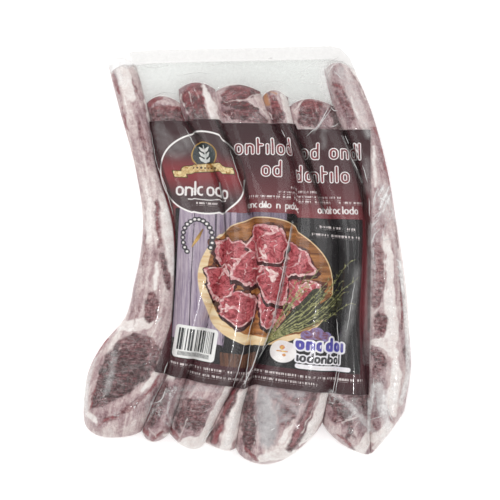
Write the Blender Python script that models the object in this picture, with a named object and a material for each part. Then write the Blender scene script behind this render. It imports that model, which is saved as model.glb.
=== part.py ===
"""Frozen lamb rib chops in a clear vacuum pack, lying flat with the label up.

Seven chops lie side by side, eyes of meat at -Y and rib ends at +Y, where the bag goes on as a
flat web to its heat seal. The film is drawn tight round them, so bag and meat are one solid.
Everything is worked out on the seams: the eight lines, from the left side of the pack to its
right side, where the film dips between two chops. The origin is under the middle of the pack.
"""
import math

import bmesh
import bpy
import numpy as np

# ---- driving dimensions, in millimetres ----
CHOPS = 7
SEAM_STATIONS = (-129, -98, -78, -61, -44, -20, 20, 61, 98, 136)   # y, bottom to top
SEAMS = (                                                          # x of each seam there
    (-111.5, -111.5, -108, -98.5, -84.5, -77.5, -71.5, -77, -87, -97),
    (-75, -63, -54, -52, -50.5, -49, -50, -61.5, -67.5, -78),
    (-55.5, -46, -39, -32.5, -27, -20, -15, -25, -44.5, -48.5),
    (-29, -14, -1.5, 1.5, 3.5, 5.5, 5, -7, -19.5, -24),
    (-8, -2, 5, 12.5, 17.5, 23, 30, 31.5, 14, 1.5),
    (48.5, 54, 59, 59.5, 59, 61, 59, 41, 29.5, 25),
    (83.5, 81.5, 80, 78, 77, 78, 79, 75.5, 60, 50.5),
    (103.5, 108.5, 111.5, 111, 110, 108, 102, 95, 85, 70),
)
NOTCHES = (-107, -120, -122, -128.5, -132, -114.5, -136, -107)     # y where a seam meets the edge
LOBE_DROPS = (13.5, 7, 6.5, 3, 18.5, 5.5, 4)        # how far each chop's end hangs below its notches
LOBE_LEANS = (0.5, 1.0, 1.4, 1.6, 1.0, 1.0, 1.0)  # under 1 puts the lowest point to the left
RIB_ENDS = (134.5, 109.5, 119, 117.5, 113.5, 107.5, 132.5)         # y of each rib's end
RIB_HEIGHTS = (13, 15.5, 16.5, 16.5, 18, 16.5, 14)                 # top of each rib
EYE_HEIGHTS = (22, 24, 26.5, 26, 29, 27, 23)                       # top of each eye of meat
TOP_EDGE_X = (-97, -93.5, -86, -66, 57, 64, 70)                    # the sealed edge of the bag
TOP_EDGE_Y = (132.5, 135.5, 138.8, 140.8, 143.6, 142, 135.5)

EYE_ZONE_TOP = -15        # the meat is at its full height below this y
RIB_ZONE_BOTTOM = 60      # and down to rib height above this one
VALLEY_DEPTH_RIB = 5.0    # how far the film dips between two ribs
VALLEY_DEPTH_EYE = 7.5    # and between two eyes
RIM_STATIONS = (-140, -70, 60, 105, 143)
RIM_HEIGHTS = (8.5, 9.0, 7.5, 6.0, 1.2)           # mid-height of the edge, drooping at the seal
FILM = 1.0                # edge and web; the real film is thinner than this model can be
LOBE_ROUND = 13.0         # depth over which an end lobe rises from the edge
TIP_ROUND = 9.0           # length over which a rib's end rises from the web
TIP_SWEEP = 5.0           # how much further back a rib's corners lie than its middle
BELLY_LIFT = 3.0          # how far the underside arches up at a seam
BELLY_FLAT = 1.35         # above 1 the underside is flat under the thick part of a chop

LABEL_GAP, LABEL_THICK = 0.5, 0.5                 # the real label is a quarter as thick
LABEL_TOP = ((83.5, 85), (34.5, 86), (32, 89), (-17.5, 90), (-22, 92), (-66, 92))
LABEL_BOTTOM = ((-62.5, -79), (-32, -85.5), (-2, -90), (5, -87), (50, -92.5), (82, -94.5))
LABEL_TUCK = (75, 50, 25, 0, -25, -45)            # y where its left edge runs down a dip
LABEL_INSET = 0.6         # how far to the right of that seam it stops
STICKER_CENTRE = (-35.3, -59.2)
STICKER_SIZE = (29, 22)
STICKER_CORNER = 2.5
STICKER_TURN = -9.0       # degrees, anticlockwise
STICKER_GAP, STICKER_THICK = 0.4, 0.5

# ---- the grid that the skin is drawn on ----
ACROSS_CHOP = (0.0, 0.08, 0.22, 0.41, 0.59, 0.78, 0.92)
END_ROWS = (0.0, 0.003, 0.009, 0.018, 0.03, 0.046, 0.068)
BODY_ROWS = np.linspace(0.1, 0.82, 19)
TIP_ROWS = np.linspace(0.84, 0.96, 9)
SEAL_ROWS = (0.975, 1.0)

COLOURS = {"vacuum_pack": (0.58, 0.47, 0.45), "label": (0.11, 0.05, 0.055),
           "barcode_sticker": (0.85, 0.85, 0.83)}


def through(at, stations, values):
    """A smooth curve through values at rising stations, held level past both ends."""
    stations, values = np.asarray(stations, float), np.asarray(values, float)
    slope = np.gradient(values, stations)
    at = np.clip(at, stations[0], stations[-1])
    left = np.clip(np.searchsorted(stations, at, side="right") - 1, 0, len(stations) - 2)
    span = stations[left + 1] - stations[left]
    t = (at - stations[left]) / span
    start = values[left] * (1 + 2 * t) * (1 - t) ** 2 + slope[left] * span * t * (1 - t) ** 2
    end = values[left + 1] * (3 - 2 * t) * t ** 2 + slope[left + 1] * span * (t - 1) * t ** 2
    return start + end


def round_rise(share):
    """A quarter circle: 0 at the edge, upright there, and 1 from share 1 on."""
    return np.sqrt(1 - (1 - np.clip(share, 0, 1)) ** 2)


def ease(share):
    share = np.clip(share, 0, 1)
    return share * share * (3 - 2 * share)


def seam_x(seam, y):
    return through(y, SEAM_STATIONS, SEAMS[seam])


def skin_x(chop, across, y):
    """x of the point that lies a share across from a chop's left seam to its right one."""
    return seam_x(chop, y) * (1 - across) + seam_x(chop + 1, y) * across


def bottom_edge(chop, across):
    """y of the pack's lower edge: from notch to notch, with the chop's lobe hanging below."""
    lobe = np.sin(math.pi * across ** LOBE_LEANS[chop]).clip(0, 1) ** 0.6
    straight = NOTCHES[chop] * (1 - across) + NOTCHES[chop + 1] * across
    return straight - LOBE_DROPS[chop] * lobe


def top_edge(chop, across):
    return np.interp(skin_x(chop, across, SEAM_STATIONS[-1]), TOP_EDGE_X, TOP_EDGE_Y)


def rim(y):
    return through(y, RIM_STATIONS, RIM_HEIGHTS)


def rib_share(y):
    """0 at the eyes of meat and 1 along the ribs."""
    return ease((y - EYE_ZONE_TOP) / (RIB_ZONE_BOTTOM - EYE_ZONE_TOP))


def ridge(chop, y):
    return EYE_HEIGHTS[chop] + (RIB_HEIGHTS[chop] - EYE_HEIGHTS[chop]) * rib_share(y)


def past_tip(chop, across, y):
    """0 on the web past a rib's end and 1 on the chop."""
    end = RIB_ENDS[chop] - TIP_SWEEP * (2 * across - 1) ** 2
    return round_rise((end - y) / TIP_ROUND)


def dome(chop, across):
    """Height across a chop, 0 at its seams and 1 along its crest, round at the pack's sides."""
    drop = np.abs(2 * across - 1) ** 2.6
    outer = (across < 0.5) if chop == 0 else (across > 0.5) & (chop == CHOPS - 1)
    return np.where(outer, np.sqrt(1 - drop), 1 - drop)


def valley(seam, y):
    """Height of the film in a seam; at the pack's two sides it is the edge itself."""
    edge = rim(y) + FILM / 2
    if seam in (0, CHOPS):
        return edge
    depth = VALLEY_DEPTH_EYE + (VALLEY_DEPTH_RIB - VALLEY_DEPTH_EYE) * rib_share(y)
    bed = np.minimum(ridge(seam - 1, y), ridge(seam, y)) - depth
    return edge + (bed - edge) * np.minimum(past_tip(seam - 1, 1.0, y), past_tip(seam, 0.0, y))


def skin_top(chop, across, y):
    """Height of the upper skin: a dome between two valleys, brought down at tip and lobe."""
    edge = rim(y) + FILM / 2
    crest = edge + (ridge(chop, y) - edge) * past_tip(chop, across, y)
    bed = valley(chop, y) * (1 - across) + valley(chop + 1, y) * across
    lobe = round_rise((y - bottom_edge(chop, across)) / LOBE_ROUND)
    return edge + (bed + (crest - bed) * dome(chop, across) - edge) * lobe


def skin_bottom(chop, across, y):
    """Height of the underside: flat on the table under each chop, arched at seams and edges."""
    edge = rim(y) - FILM / 2
    left = edge if chop == 0 else BELLY_LIFT
    right = edge if chop == CHOPS - 1 else BELLY_LIFT
    flat = np.minimum(1, BELLY_FLAT * dome(chop, across))
    arch = (left * (1 - across) + right * across) * (1 - flat)
    lobe = round_rise((y - bottom_edge(chop, across)) / LOBE_ROUND)
    held = np.minimum(1, BELLY_FLAT * lobe * past_tip(chop, across, y))
    return arch * held + edge * (1 - held)


def skin_grid():
    """x, y, upper z and lower z of the pack, one row of points for each step towards the seal."""
    share = np.concatenate([END_ROWS, BODY_ROWS, TIP_ROWS, SEAL_ROWS])
    columns = []
    for chop in range(CHOPS):
        steps = ACROSS_CHOP + ((1.0,) if chop == CHOPS - 1 else ())
        for across in steps:
            across = np.float64(across)
            low, high = bottom_edge(chop, across), top_edge(chop, across)
            y = low + (high - low) * share
            columns.append((skin_x(chop, across, y), y, skin_top(chop, across, y),
                            skin_bottom(chop, across, y)))
    return [np.array(part).T for part in zip(*columns)]


def slab(name, x, y, top, bottom):
    """A closed solid between two surfaces drawn on the same grid, in metres."""
    rows, cols = x.shape
    index = np.arange(rows * cols).reshape(rows, cols)
    corners = index[:-1, :-1], index[:-1, 1:], index[1:, 1:], index[1:, :-1]
    upper = np.stack([c.ravel() for c in corners], axis=1)
    under = rows * cols
    lower = upper[:, ::-1] + under
    around = np.concatenate([index[0], index[1:, -1], index[-1, -2::-1], index[-2:0:-1, 0]])
    after = np.roll(around, -1)
    wall = np.stack([around, around + under, after + under, after], axis=1)
    points = np.concatenate([np.stack([x, y, z], axis=2).reshape(-1, 3) for z in (top, bottom)])
    mesh = bpy.data.meshes.new(name)
    mesh.from_pydata((points * 0.001).tolist(), [], np.concatenate([upper, lower, wall]).tolist())
    mesh.update()
    return bpy.data.objects.new(name, mesh)


def prism(name, outline, cutters):
    """An upright cutter of a flat outline, taller than the pack."""
    tall = 0.04
    curve = bpy.data.curves.new(name, "CURVE")
    curve.dimensions, curve.fill_mode, curve.extrude = "2D", "BOTH", tall
    line = curve.splines.new("POLY")
    line.points.add(len(outline) - 1)
    for point, (x, y) in zip(line.points, outline):
        point.co = (x * 0.001, y * 0.001, 0, 1)
    line.use_cyclic_u = True
    drawn = bpy.data.objects.new(name + "_outline", curve)
    cutters.objects.link(drawn)
    ready = drawn.evaluated_get(bpy.context.evaluated_depsgraph_get())
    mesh = bpy.data.meshes.new_from_object(ready)
    bpy.data.objects.remove(drawn)
    cleaned = bmesh.new()
    cleaned.from_mesh(mesh)
    bmesh.ops.remove_doubles(cleaned, verts=cleaned.verts, dist=1e-5)
    bmesh.ops.recalc_face_normals(cleaned, faces=cleaned.faces)
    cleaned.to_mesh(mesh)
    cleaned.free()
    cutter = bpy.data.objects.new(name, mesh)
    cutter.hide_render, cutter.display_type = True, "WIRE"
    cutters.objects.link(cutter)
    return cutter


def finish(part, parts):
    """Give a piece its own material and put it in the object's collection."""
    material = bpy.data.materials.new(part.name)
    material.use_nodes = True
    shader = material.node_tree.nodes["Principled BSDF"]
    shader.inputs["Base Color"].default_value = (*COLOURS[part.name], 1)
    shader.inputs["Roughness"].default_value = 0.25
    part.data.materials.append(material)
    part.data.shade_smooth()
    part.data.set_sharp_from_angle(angle=math.radians(50))
    parts.objects.link(part)


def sheet_on_skin(name, grid, gap, thick, outline, margin, collections):
    """A thin sheet that follows the upper skin at a gap, trimmed to an outline seen from above."""
    x, y, top = grid[:3]
    spans = [[min(p[i] for p in outline) - margin, max(p[i] for p in outline) + margin]
             for i in (0, 1)]
    inside = ((x > spans[0][0]) & (x < spans[0][1]) & (y > spans[1][0]) & (y < spans[1][1]))
    rows, cols = np.flatnonzero(inside.any(axis=1)), np.flatnonzero(inside.any(axis=0))
    area = slice(rows[0], rows[-1] + 1), slice(cols[0], cols[-1] + 1)
    sheet = slab(name, x[area], y[area], top[area] + gap + thick, top[area] + gap)
    parts, cutters = collections
    finish(sheet, parts)
    trim = sheet.modifiers.new("trim", "BOOLEAN")
    trim.operation, trim.solver = "INTERSECT", "MANIFOLD"    # EXACT leaves nothing of the label
    trim.object = prism(name + "_trim", outline, cutters)


def label_outline():
    """Top and bottom edges as cut, with the left edge tucked into the first dip."""
    tuck = [(float(seam_x(1, y)) + LABEL_INSET, y) for y in LABEL_TUCK]
    return [*LABEL_TOP, *tuck, *LABEL_BOTTOM]


def sticker_outline():
    """A rectangle with a quarter circle of four chords at each corner, turned on the label."""
    half_x, half_y = (size / 2 - STICKER_CORNER for size in STICKER_SIZE)
    turn = math.radians(STICKER_TURN)
    outline = []
    for quarter, (sx, sy) in enumerate(((1, 1), (-1, 1), (-1, -1), (1, -1))):
        for chord in range(5):
            angle = math.radians(90 * quarter + 22.5 * chord)
            x = sx * half_x + STICKER_CORNER * math.cos(angle)
            y = sy * half_y + STICKER_CORNER * math.sin(angle)
            outline.append((STICKER_CENTRE[0] + x * math.cos(turn) - y * math.sin(turn),
                            STICKER_CENTRE[1] + x * math.sin(turn) + y * math.cos(turn)))
    return outline


def build():
    for old in list(bpy.data.objects):
        bpy.data.objects.remove(old, do_unlink=True)
    parts = bpy.data.collections.new("lamb_rib_chop_pack")
    cutters = bpy.data.collections.new("cutters")
    for collection in (parts, cutters):
        bpy.context.scene.collection.children.link(collection)

    grid = skin_grid()
    x, y, top, bottom = grid
    finish(slab("vacuum_pack", x, y, top, bottom), parts)
    sheet_on_skin("label", grid, LABEL_GAP, LABEL_THICK, label_outline(), 4, (parts, cutters))
    sheet_on_skin("barcode_sticker", grid, LABEL_GAP + LABEL_THICK + STICKER_GAP, STICKER_THICK,
                  sticker_outline(), 4, (parts, cutters))


build()
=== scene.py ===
from functools import partial
from math import cos, pi, radians, sin

import bpy
import numpy as np
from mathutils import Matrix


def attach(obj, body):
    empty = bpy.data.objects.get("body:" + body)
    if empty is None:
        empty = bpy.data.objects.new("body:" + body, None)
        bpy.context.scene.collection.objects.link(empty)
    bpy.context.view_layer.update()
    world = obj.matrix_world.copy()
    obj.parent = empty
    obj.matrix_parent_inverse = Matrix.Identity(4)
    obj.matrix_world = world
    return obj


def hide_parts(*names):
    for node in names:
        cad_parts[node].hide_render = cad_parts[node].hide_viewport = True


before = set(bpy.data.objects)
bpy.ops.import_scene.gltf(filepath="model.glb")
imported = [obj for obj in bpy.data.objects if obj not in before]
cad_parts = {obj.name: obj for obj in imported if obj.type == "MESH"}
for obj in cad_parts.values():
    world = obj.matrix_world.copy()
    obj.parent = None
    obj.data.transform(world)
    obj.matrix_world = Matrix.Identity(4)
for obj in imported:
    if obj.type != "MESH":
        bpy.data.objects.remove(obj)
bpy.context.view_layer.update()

# ---------------------------------------------------------------------------------------------
# The chops
# Seven lamb rib chops, frozen hard, cut along the rib and laid side by side. Each is bone, fat
# and lean sawn through in one cut, so its markings run from the upper face to the lower one.
# ---------------------------------------------------------------------------------------------
CHOPS = 7
SEAM_STATIONS = (-129, -98, -78, -61, -44, -20, 20, 61, 98, 136)   # y in mm, bottom to top
SEAMS = (                                                          # x where two chops meet
    (-111.5, -111.5, -108, -98.5, -84.5, -77.5, -71.5, -77, -87, -97),
    (-75, -63, -54, -52, -50.5, -49, -50, -61.5, -67.5, -78),
    (-55.5, -46, -39, -32.5, -27, -20, -15, -25, -44.5, -48.5),
    (-29, -14, -1.5, 1.5, 3.5, 5.5, 5, -7, -19.5, -24),
    (-8, -2, 5, 12.5, 17.5, 23, 30, 31.5, 14, 1.5),
    (48.5, 54, 59, 59.5, 59, 61, 59, 41, 29.5, 25),
    (83.5, 81.5, 80, 78, 77, 78, 79, 75.5, 60, 50.5),
    (103.5, 108.5, 111.5, 111, 110, 108, 102, 95, 85, 70),
)
NOTCHES = (-107, -120, -122, -128.5, -132, -114.5, -136, -107)     # y of the lower edge in a seam
LOBE_DROPS = (13.5, 7, 6.5, 3, 18.5, 5.5, 4)                       # mm that a chop hangs below it
LOBE_LEANS = (0.5, 1.0, 1.4, 1.6, 1.0, 1.0, 1.0)                   # 1 is upright, more is to the right
RIB_ENDS = (134.5, 109.5, 119, 117.5, 113.5, 107.5, 132.5)         # y
RIB_HEIGHTS = (13, 15.5, 16.5, 16.5, 18, 16.5, 14)                 # mm from table to crest
EYE_HEIGHTS = (22, 24, 26.5, 26, 29, 27, 23)
EYE_ZONE_TOP, RIB_ZONE_BOTTOM = -15, 60                            # y between which they pass over
VALLEY_DEPTH_RIB, VALLEY_DEPTH_EYE = 5.0, 7.5                      # mm below the lower crest
RIM_STATIONS, RIM_HEIGHTS = (-140, -70, 60, 105, 143), (8.5, 9.0, 7.5, 6.0, 1.2)
EDGE_HALF = 0.5                      # half the thickness of the pack's edge
LOBE_POWER, DOME_POWER = 0.6, 2.6    # how blunt a lobe is, and how square a chop's back
LOBE_ROUND, TIP_ROUND = 13.0, 9.0    # mm over which lobe and tip come down to the edge
TIP_SWEEP = 5.0                      # mm that a tip's corners lie behind its middle
BELLY_LIFT, BELLY_FLAT = 3.0, 1.35   # mm that a seam is off the table, and how wide a chop rests
UNDER_FILM = 0.35                    # mm that the meat lies below the film's face
SIDE_GAP, END_GAP = 0.004, 0.8       # share of a chop left free at its sides, and mm at its ends
CHOP_COLUMNS, CHOP_ROWS = 65, 321
CROWD_ACROSS, CROWD_ALONG = 0.55, 0.6
LEAN_SUNK, SAW_WAVE = 0.5, 0.25      # mm
LEVEL_END = 0.25                     # share of the length over which both fade at an end
CHOP_UNIT = 100                      # mm to one unit of a chop's own map
MM = 0.001
SHARPEST = radians(60)               # an edge that turns more than this isn't smoothed


def through(at, stations, values):
    """A smooth cubic curve through values at rising stations, held level past both ends."""
    stations, values = np.asarray(stations, float), np.asarray(values, float)
    slope = np.gradient(values, stations)
    at = np.clip(at, stations[0], stations[-1])
    left = np.clip(np.searchsorted(stations, at, side="right") - 1, 0, len(stations) - 2)
    span = stations[left + 1] - stations[left]
    t = (at - stations[left]) / span
    start = values[left] * (1 + 2 * t) * (1 - t) ** 2 + slope[left] * span * t * (1 - t) ** 2
    end = values[left + 1] * (3 - 2 * t) * t ** 2 + slope[left + 1] * span * (t - 1) * t ** 2
    return start + end


def round_rise(share):
    """A quarter circle: 0 at the edge, upright there, and 1 from share 1 on."""
    return np.sqrt(1 - (1 - np.clip(share, 0, 1)) ** 2)


def rise(value, low, high):
    """0 up to low and 1 from high on, with a smooth S between."""
    share = np.clip((value - low) / (high - low), 0, 1)
    return share * share * (3 - 2 * share)


def crowded(share, strength):
    """Even shares from 0 to 1, drawn closer together at both ends by one turn of a sine."""
    return share - strength * np.sin(2 * pi * share) / (2 * pi)


def seam_x(seam, y):
    return through(y, SEAM_STATIONS, SEAMS[seam])


def skin_x(chop, across, y):
    """x of the point that lies a share across from a chop's left seam to its right one."""
    return seam_x(chop, y) * (1 - across) + seam_x(chop + 1, y) * across


def bottom_edge(chop, across):
    """y of the lower edge: straight from notch to notch, less the hanging lobe of the chop."""
    lobe = np.sin(pi * across ** LOBE_LEANS[chop]).clip(0, 1) ** LOBE_POWER
    return NOTCHES[chop] * (1 - across) + NOTCHES[chop + 1] * across - LOBE_DROPS[chop] * lobe


def rib_end(chop, across):
    """y of a rib's end, swept back from its middle with the square of the way to a seam."""
    return RIB_ENDS[chop] - TIP_SWEEP * (2 * across - 1) ** 2


def rim(y):
    return through(y, RIM_STATIONS, RIM_HEIGHTS)


def rib_share(y):
    return rise(y, EYE_ZONE_TOP, RIB_ZONE_BOTTOM)


def ridge(chop, y):
    return EYE_HEIGHTS[chop] + (RIB_HEIGHTS[chop] - EYE_HEIGHTS[chop]) * rib_share(y)


def past_tip(chop, across, y):
    """0 past a rib's end, rising on a quarter circle to 1 on the chop."""
    return round_rise((rib_end(chop, across) - y) / TIP_ROUND)


def past_lobe(chop, across, y):
    """0 past a chop's lower edge, rising on a quarter circle to 1 on the chop."""
    return round_rise((y - bottom_edge(chop, across)) / LOBE_ROUND)


def dome(chop, across):
    """Height across a chop, 0 at its seams and 1 along its crest, round at the pack's sides."""
    drop = np.abs(2 * across - 1) ** DOME_POWER
    outer = (across < 0.5) if chop == 0 else (across > 0.5) & (chop == CHOPS - 1)
    return np.where(outer, np.sqrt(1 - drop), 1 - drop)


def valley(seam, y):
    """Height of the film in a seam, and of the edge itself at the pack's two sides."""
    edge = rim(y) + EDGE_HALF
    if seam in (0, CHOPS):
        return edge
    depth = VALLEY_DEPTH_EYE + (VALLEY_DEPTH_RIB - VALLEY_DEPTH_EYE) * rib_share(y)
    bed = np.minimum(ridge(seam - 1, y), ridge(seam, y)) - depth
    return edge + (bed - edge) * np.minimum(past_tip(seam - 1, 1.0, y), past_tip(seam, 0.0, y))


def skin_top(chop, across, y):
    """Upper skin: a dome between two valleys, brought down to the edge at tip and lobe."""
    edge = rim(y) + EDGE_HALF
    crest = edge + (ridge(chop, y) - edge) * past_tip(chop, across, y)
    bed = valley(chop, y) * (1 - across) + valley(chop + 1, y) * across
    return edge + (bed + (crest - bed) * dome(chop, across) - edge) * past_lobe(chop, across, y)


def skin_bottom(chop, across, y):
    """Lower skin: level with the table under each chop, arched at seams and edges."""
    edge = rim(y) - EDGE_HALF
    left = edge if chop == 0 else BELLY_LIFT
    right = edge if chop == CHOPS - 1 else BELLY_LIFT
    arch = (left * (1 - across) + right * across) * (1 - np.minimum(1, BELLY_FLAT * dome(chop, across)))
    held = np.minimum(1, BELLY_FLAT * past_lobe(chop, across, y) * past_tip(chop, across, y))
    return arch * held + edge * (1 - held)


def both_faces(values):
    """Values for all points of a fine upper grid, then for every second point of the lower one."""
    upper, lower = (values, values) if isinstance(values, np.ndarray) else values
    lower = lower[::2, ::2]
    return np.concatenate([part.reshape(-1, *part.shape[2:]) for part in (upper, lower)])


def two_skins(x, y, top, bottom):
    """Points of an upper sheet and of a lower one over the same x and y."""
    return both_faces([np.stack([x, y, z], axis=2) for z in (top, bottom)])


def sheet_faces(rows, cols):
    """Quads of a grid of points held row after row, facing up where x and y both rise."""
    index = np.arange(rows * cols).reshape(rows, cols)
    corners = index[:-1, :-1], index[:-1, 1:], index[1:, 1:], index[1:, :-1]
    return np.stack([c.ravel() for c in corners], axis=1)


def rim_points(rows, cols):
    """Indices of a grid's outer points, once round: along its first row, then up its last column."""
    index = np.arange(rows * cols).reshape(rows, cols)
    return np.concatenate([index[0], index[1:, -1], index[-1, -2::-1], index[-2:0:-1, 0]])


def shell_faces(rows, cols):
    """Faces of a closed shell: a fine upper grid, a lower one half as fine, turned over, and a
    wall of five-sided faces between two upper edges and the one lower edge they stand on."""
    low_rows, low_cols, count = rows // 2 + 1, cols // 2 + 1, rows * cols
    over, under = rim_points(rows, cols), rim_points(low_rows, low_cols) + count
    wall = np.stack([over[0::2], under, np.roll(under, -1), np.roll(over, -2)[0::2], over[1::2]], axis=1)
    return [sheet_faces(rows, cols), sheet_faces(low_rows, low_cols)[:, ::-1] + count, wall]


def new_piece(name, material, slot, points, faces, uv=None, **fields):
    """A smooth mesh of points in mm and of lists of faces, with a value of each field a point."""
    mesh = bpy.data.meshes.new(name)
    corners = np.concatenate([part.ravel() for part in faces]).astype(np.int32)
    sizes = np.concatenate([np.full(len(part), part.shape[1]) for part in faces])
    mesh.vertices.add(len(points))
    mesh.vertices.foreach_set("co", (points * MM).astype(np.float32).ravel())
    mesh.loops.add(len(corners))
    mesh.loops.foreach_set("vertex_index", corners)
    mesh.polygons.add(len(sizes))
    mesh.polygons.foreach_set("loop_start", (np.cumsum(sizes) - sizes).astype(np.int32))
    if uv is not None:
        layer = mesh.uv_layers.new(name="flat")
        layer.uv.foreach_set("vector", uv[corners].astype(np.float32).ravel())
    for field, values in fields.items():
        stored = mesh.attributes.new(field, "FLOAT", "POINT")
        stored.data.foreach_set("value", values.astype(np.float32).ravel())
    mesh.update(calc_edges=True)
    mesh.shade_smooth()
    mesh.set_sharp_from_angle(angle=SHARPEST)
    mesh.materials.append(material)
    piece = bpy.data.objects.new(name, mesh)
    bpy.context.scene.collection.objects.link(piece)
    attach(piece, "root")
    return piece


def colour(code):
    """An sRGB hex code as a linear colour: the standard curve, channel by channel."""
    parts = [int(code[i:i + 2], 16) / 255 for i in (1, 3, 5)]
    return (*(p / 12.92 if p <= 0.04045 else ((p + 0.055) / 1.055) ** 2.4 for p in parts), 1)


def add(tree, kind, sockets=None, stops=(), **settings):
    """Adds a node. Sockets are given a value, or linked from an output or from the first output
    of a node. Stops are the places and hex colours of a ramp, its two ends first, and settings
    its other options."""
    node = tree.nodes.new(kind)
    for name, value in settings.items():
        setattr(node, name, value)
    for index, (place, code) in enumerate(stops):
        marks = node.color_ramp.elements
        mark = marks[index] if index < 2 else marks.new(place)
        mark.position, mark.color = place, colour(code)
    for key, value in (sockets or {}).items():
        if isinstance(value, bpy.types.Node):
            value = next(output for output in value.outputs if output.enabled)
        if isinstance(value, bpy.types.NodeSocket):
            tree.links.new(value, node.inputs[key])
        else:
            node.inputs[key].default_value = value
    return node


def new_material(name):
    """A material with an empty node tree; returns it, and a function that adds nodes to it."""
    material = bpy.data.materials.new(name)
    material.use_nodes = True
    material.node_tree.nodes.clear()
    return material, partial(add, material.node_tree)


# Frozen lamb, sawn: white fat and bone, dull red lean gone purple-brown in the cold, and a bloom
# of ice crystals over all of it, in blotches and in flecks along the saw's path. The fields hold
# how many mm inside bone or fat, lean, blood, marrow, ice or gristle a point lies, and noise that
# runs with the chop feathers those borders and streaks the meat.
lamb, node = new_material("frozen_lamb_fat_and_lean")
place = node("ShaderNodeTexCoord").outputs["Object"]
grown = node("ShaderNodeUVMap", uv_map="flat")
fat, lean, red, marrow, gristle, ice, tone, ground, frost, fresh = [
    node("ShaderNodeAttribute", attribute_name=name).outputs["Fac"]
    for name in ("fat", "lean", "red", "marrow", "membrane", "ice", "tone", "ground", "frosting", "fresh")]
along = node("ShaderNodeMapping", {"Vector": grown, "Scale": (1.0, 0.22, 1.0)})
far_along = node("ShaderNodeMapping", {"Vector": grown, "Scale": (1.0, 0.12, 1.0), "Location": (3.0, 7.0, 0)})
sawn = node("ShaderNodeMapping", {"Vector": place, "Rotation": (0, 0, 0.6), "Scale": (0.16, 1.0, 1.0)})
blotch, grain, fibre, streak, weave, rime, fleck = [
    node("ShaderNodeTexNoise", {"Vector": vector, "Scale": unit / size, "Detail": detail,
                                "Roughness": rough, "Distortion": warp})
    for vector, unit, size, detail, rough, warp in (     # mm to a unit, and mm to a blotch
        (place, 1 / MM, 6, 5.0, 0.7, 0.5), (place, 1 / MM, 1.5, 3.0, 0.7, 0.2),
        (along, CHOP_UNIT, 2.4, 5.0, 0.7, 0.7), (far_along, CHOP_UNIT, 5, 4.0, 0.5, 0.5),
        (sawn, 1 / MM, 1.6, 4.0, 0.7, 0.15), (place, 1 / MM, 2.5, 6.0, 0.75, 0.0),
        (sawn, 1 / MM, 1.1, 2.0, 0.6, 0.0))]
sums = []
for total, parts, mean in (         # noise on the borders, in the ground and in the lean
        (-4.5, ((fibre, 5.0), (blotch, 4.0), (grain, 1.6)), 0.8),
        (ground, ((blotch, 0.6), (fibre, 0.75), (streak, 0.95), (grain, 0.55)), 1.42),
        (tone, ((fibre, 1.3), (grain, 1.5), (blotch, 1.2), (weave, 2.2)), 3.1)):
    for source, weight in parts:
        total = node("ShaderNodeMath", {0: source, 1: weight, 2: total}, operation="MULTIPLY_ADD")
    sums.append(node("ShaderNodeMath", {0: total, 1: mean}, operation="SUBTRACT"))
feather, level, pitch = sums
body, fat_shade, cold_lean, fresh_lean, red_shade, ice_shade = [
    node("ShaderNodeValToRGB", {0: source}, stops=stops) for source, stops in (
        (level, ((0.0, "#f1eae7"), (1.0, "#4e2429"), (0.25, "#d8c6c4"), (0.5, "#ae9093"), (0.75, "#79525a"))),
        (blotch, ((0.35, "#fbf7f5"), (0.7, "#dfd0cd"))),
        (pitch, ((0.0, "#a17879"), (1.0, "#2c080b"), (0.3, "#753f45"), (0.6, "#4f1e24"))),
        (pitch, ((0.0, "#a8686a"), (1.0, "#3d0a10"), (0.3, "#86383d"), (0.6, "#661c24"))),
        (fibre, ((0.3, "#6a1e29"), (0.7, "#98464d"))),
        (blotch, ((0.35, "#bbb6b9"), (0.65, "#8d868a"))))]
lean_shade = node("ShaderNodeMix", {0: fresh, 6: cold_lean, 7: fresh_lean}, data_type="RGBA")
for source, soft, ragged, shade in (        # mm over which each kind begins, and how ragged it is
        (fat, 0.7, 0.28, fat_shade), (lean, 1.0, 0.32, lean_shade), (red, 0.7, 0.4, red_shade),
        (marrow, 0.8, 0.4, colour("#b97f52")), (ice, 2.6, 1.3, ice_shade),
        (gristle, 0.4, 0.15, colour("#d9cbc9"))):
    depth = node("ShaderNodeMath", {0: feather, 1: ragged, 2: source}, operation="MULTIPLY_ADD")
    share = node("ShaderNodeMapRange", {"Value": depth, 1: -soft, 2: soft}, interpolation_type="SMOOTHSTEP")
    body = node("ShaderNodeMix", {0: share, 6: body, 7: shade}, data_type="RGBA")
bloom = node("ShaderNodeMapRange", {"Value": rime, 1: 0.45, 2: 0.65})
fleck = node("ShaderNodeMapRange", {"Value": fleck, 1: 0.56, 2: 0.66, 3: 0.0, 4: 0.8})
bloom = node("ShaderNodeMath", {0: bloom, 1: 0.9, 2: fleck}, operation="MULTIPLY_ADD")
bloom = node("ShaderNodeMath", {0: bloom, 1: frost}, operation="MULTIPLY")
body = node("ShaderNodeMix", {0: bloom, 6: body, 7: colour("#c2afb0")}, data_type="RGBA")
relief = node("ShaderNodeMath", {0: grain, 1: 0.6, 2: blotch}, operation="MULTIPLY_ADD")
bump = node("ShaderNodeBump", {"Height": relief, "Strength": 0.35, "Distance": 1 * MM})
meat = node("ShaderNodeBsdfPrincipled", {"Base Color": body, "Roughness": 0.55, "Normal": bump,
                                         "Specular IOR Level": 0.25})
node("ShaderNodeOutputMaterial", {"Surface": meat})

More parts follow.
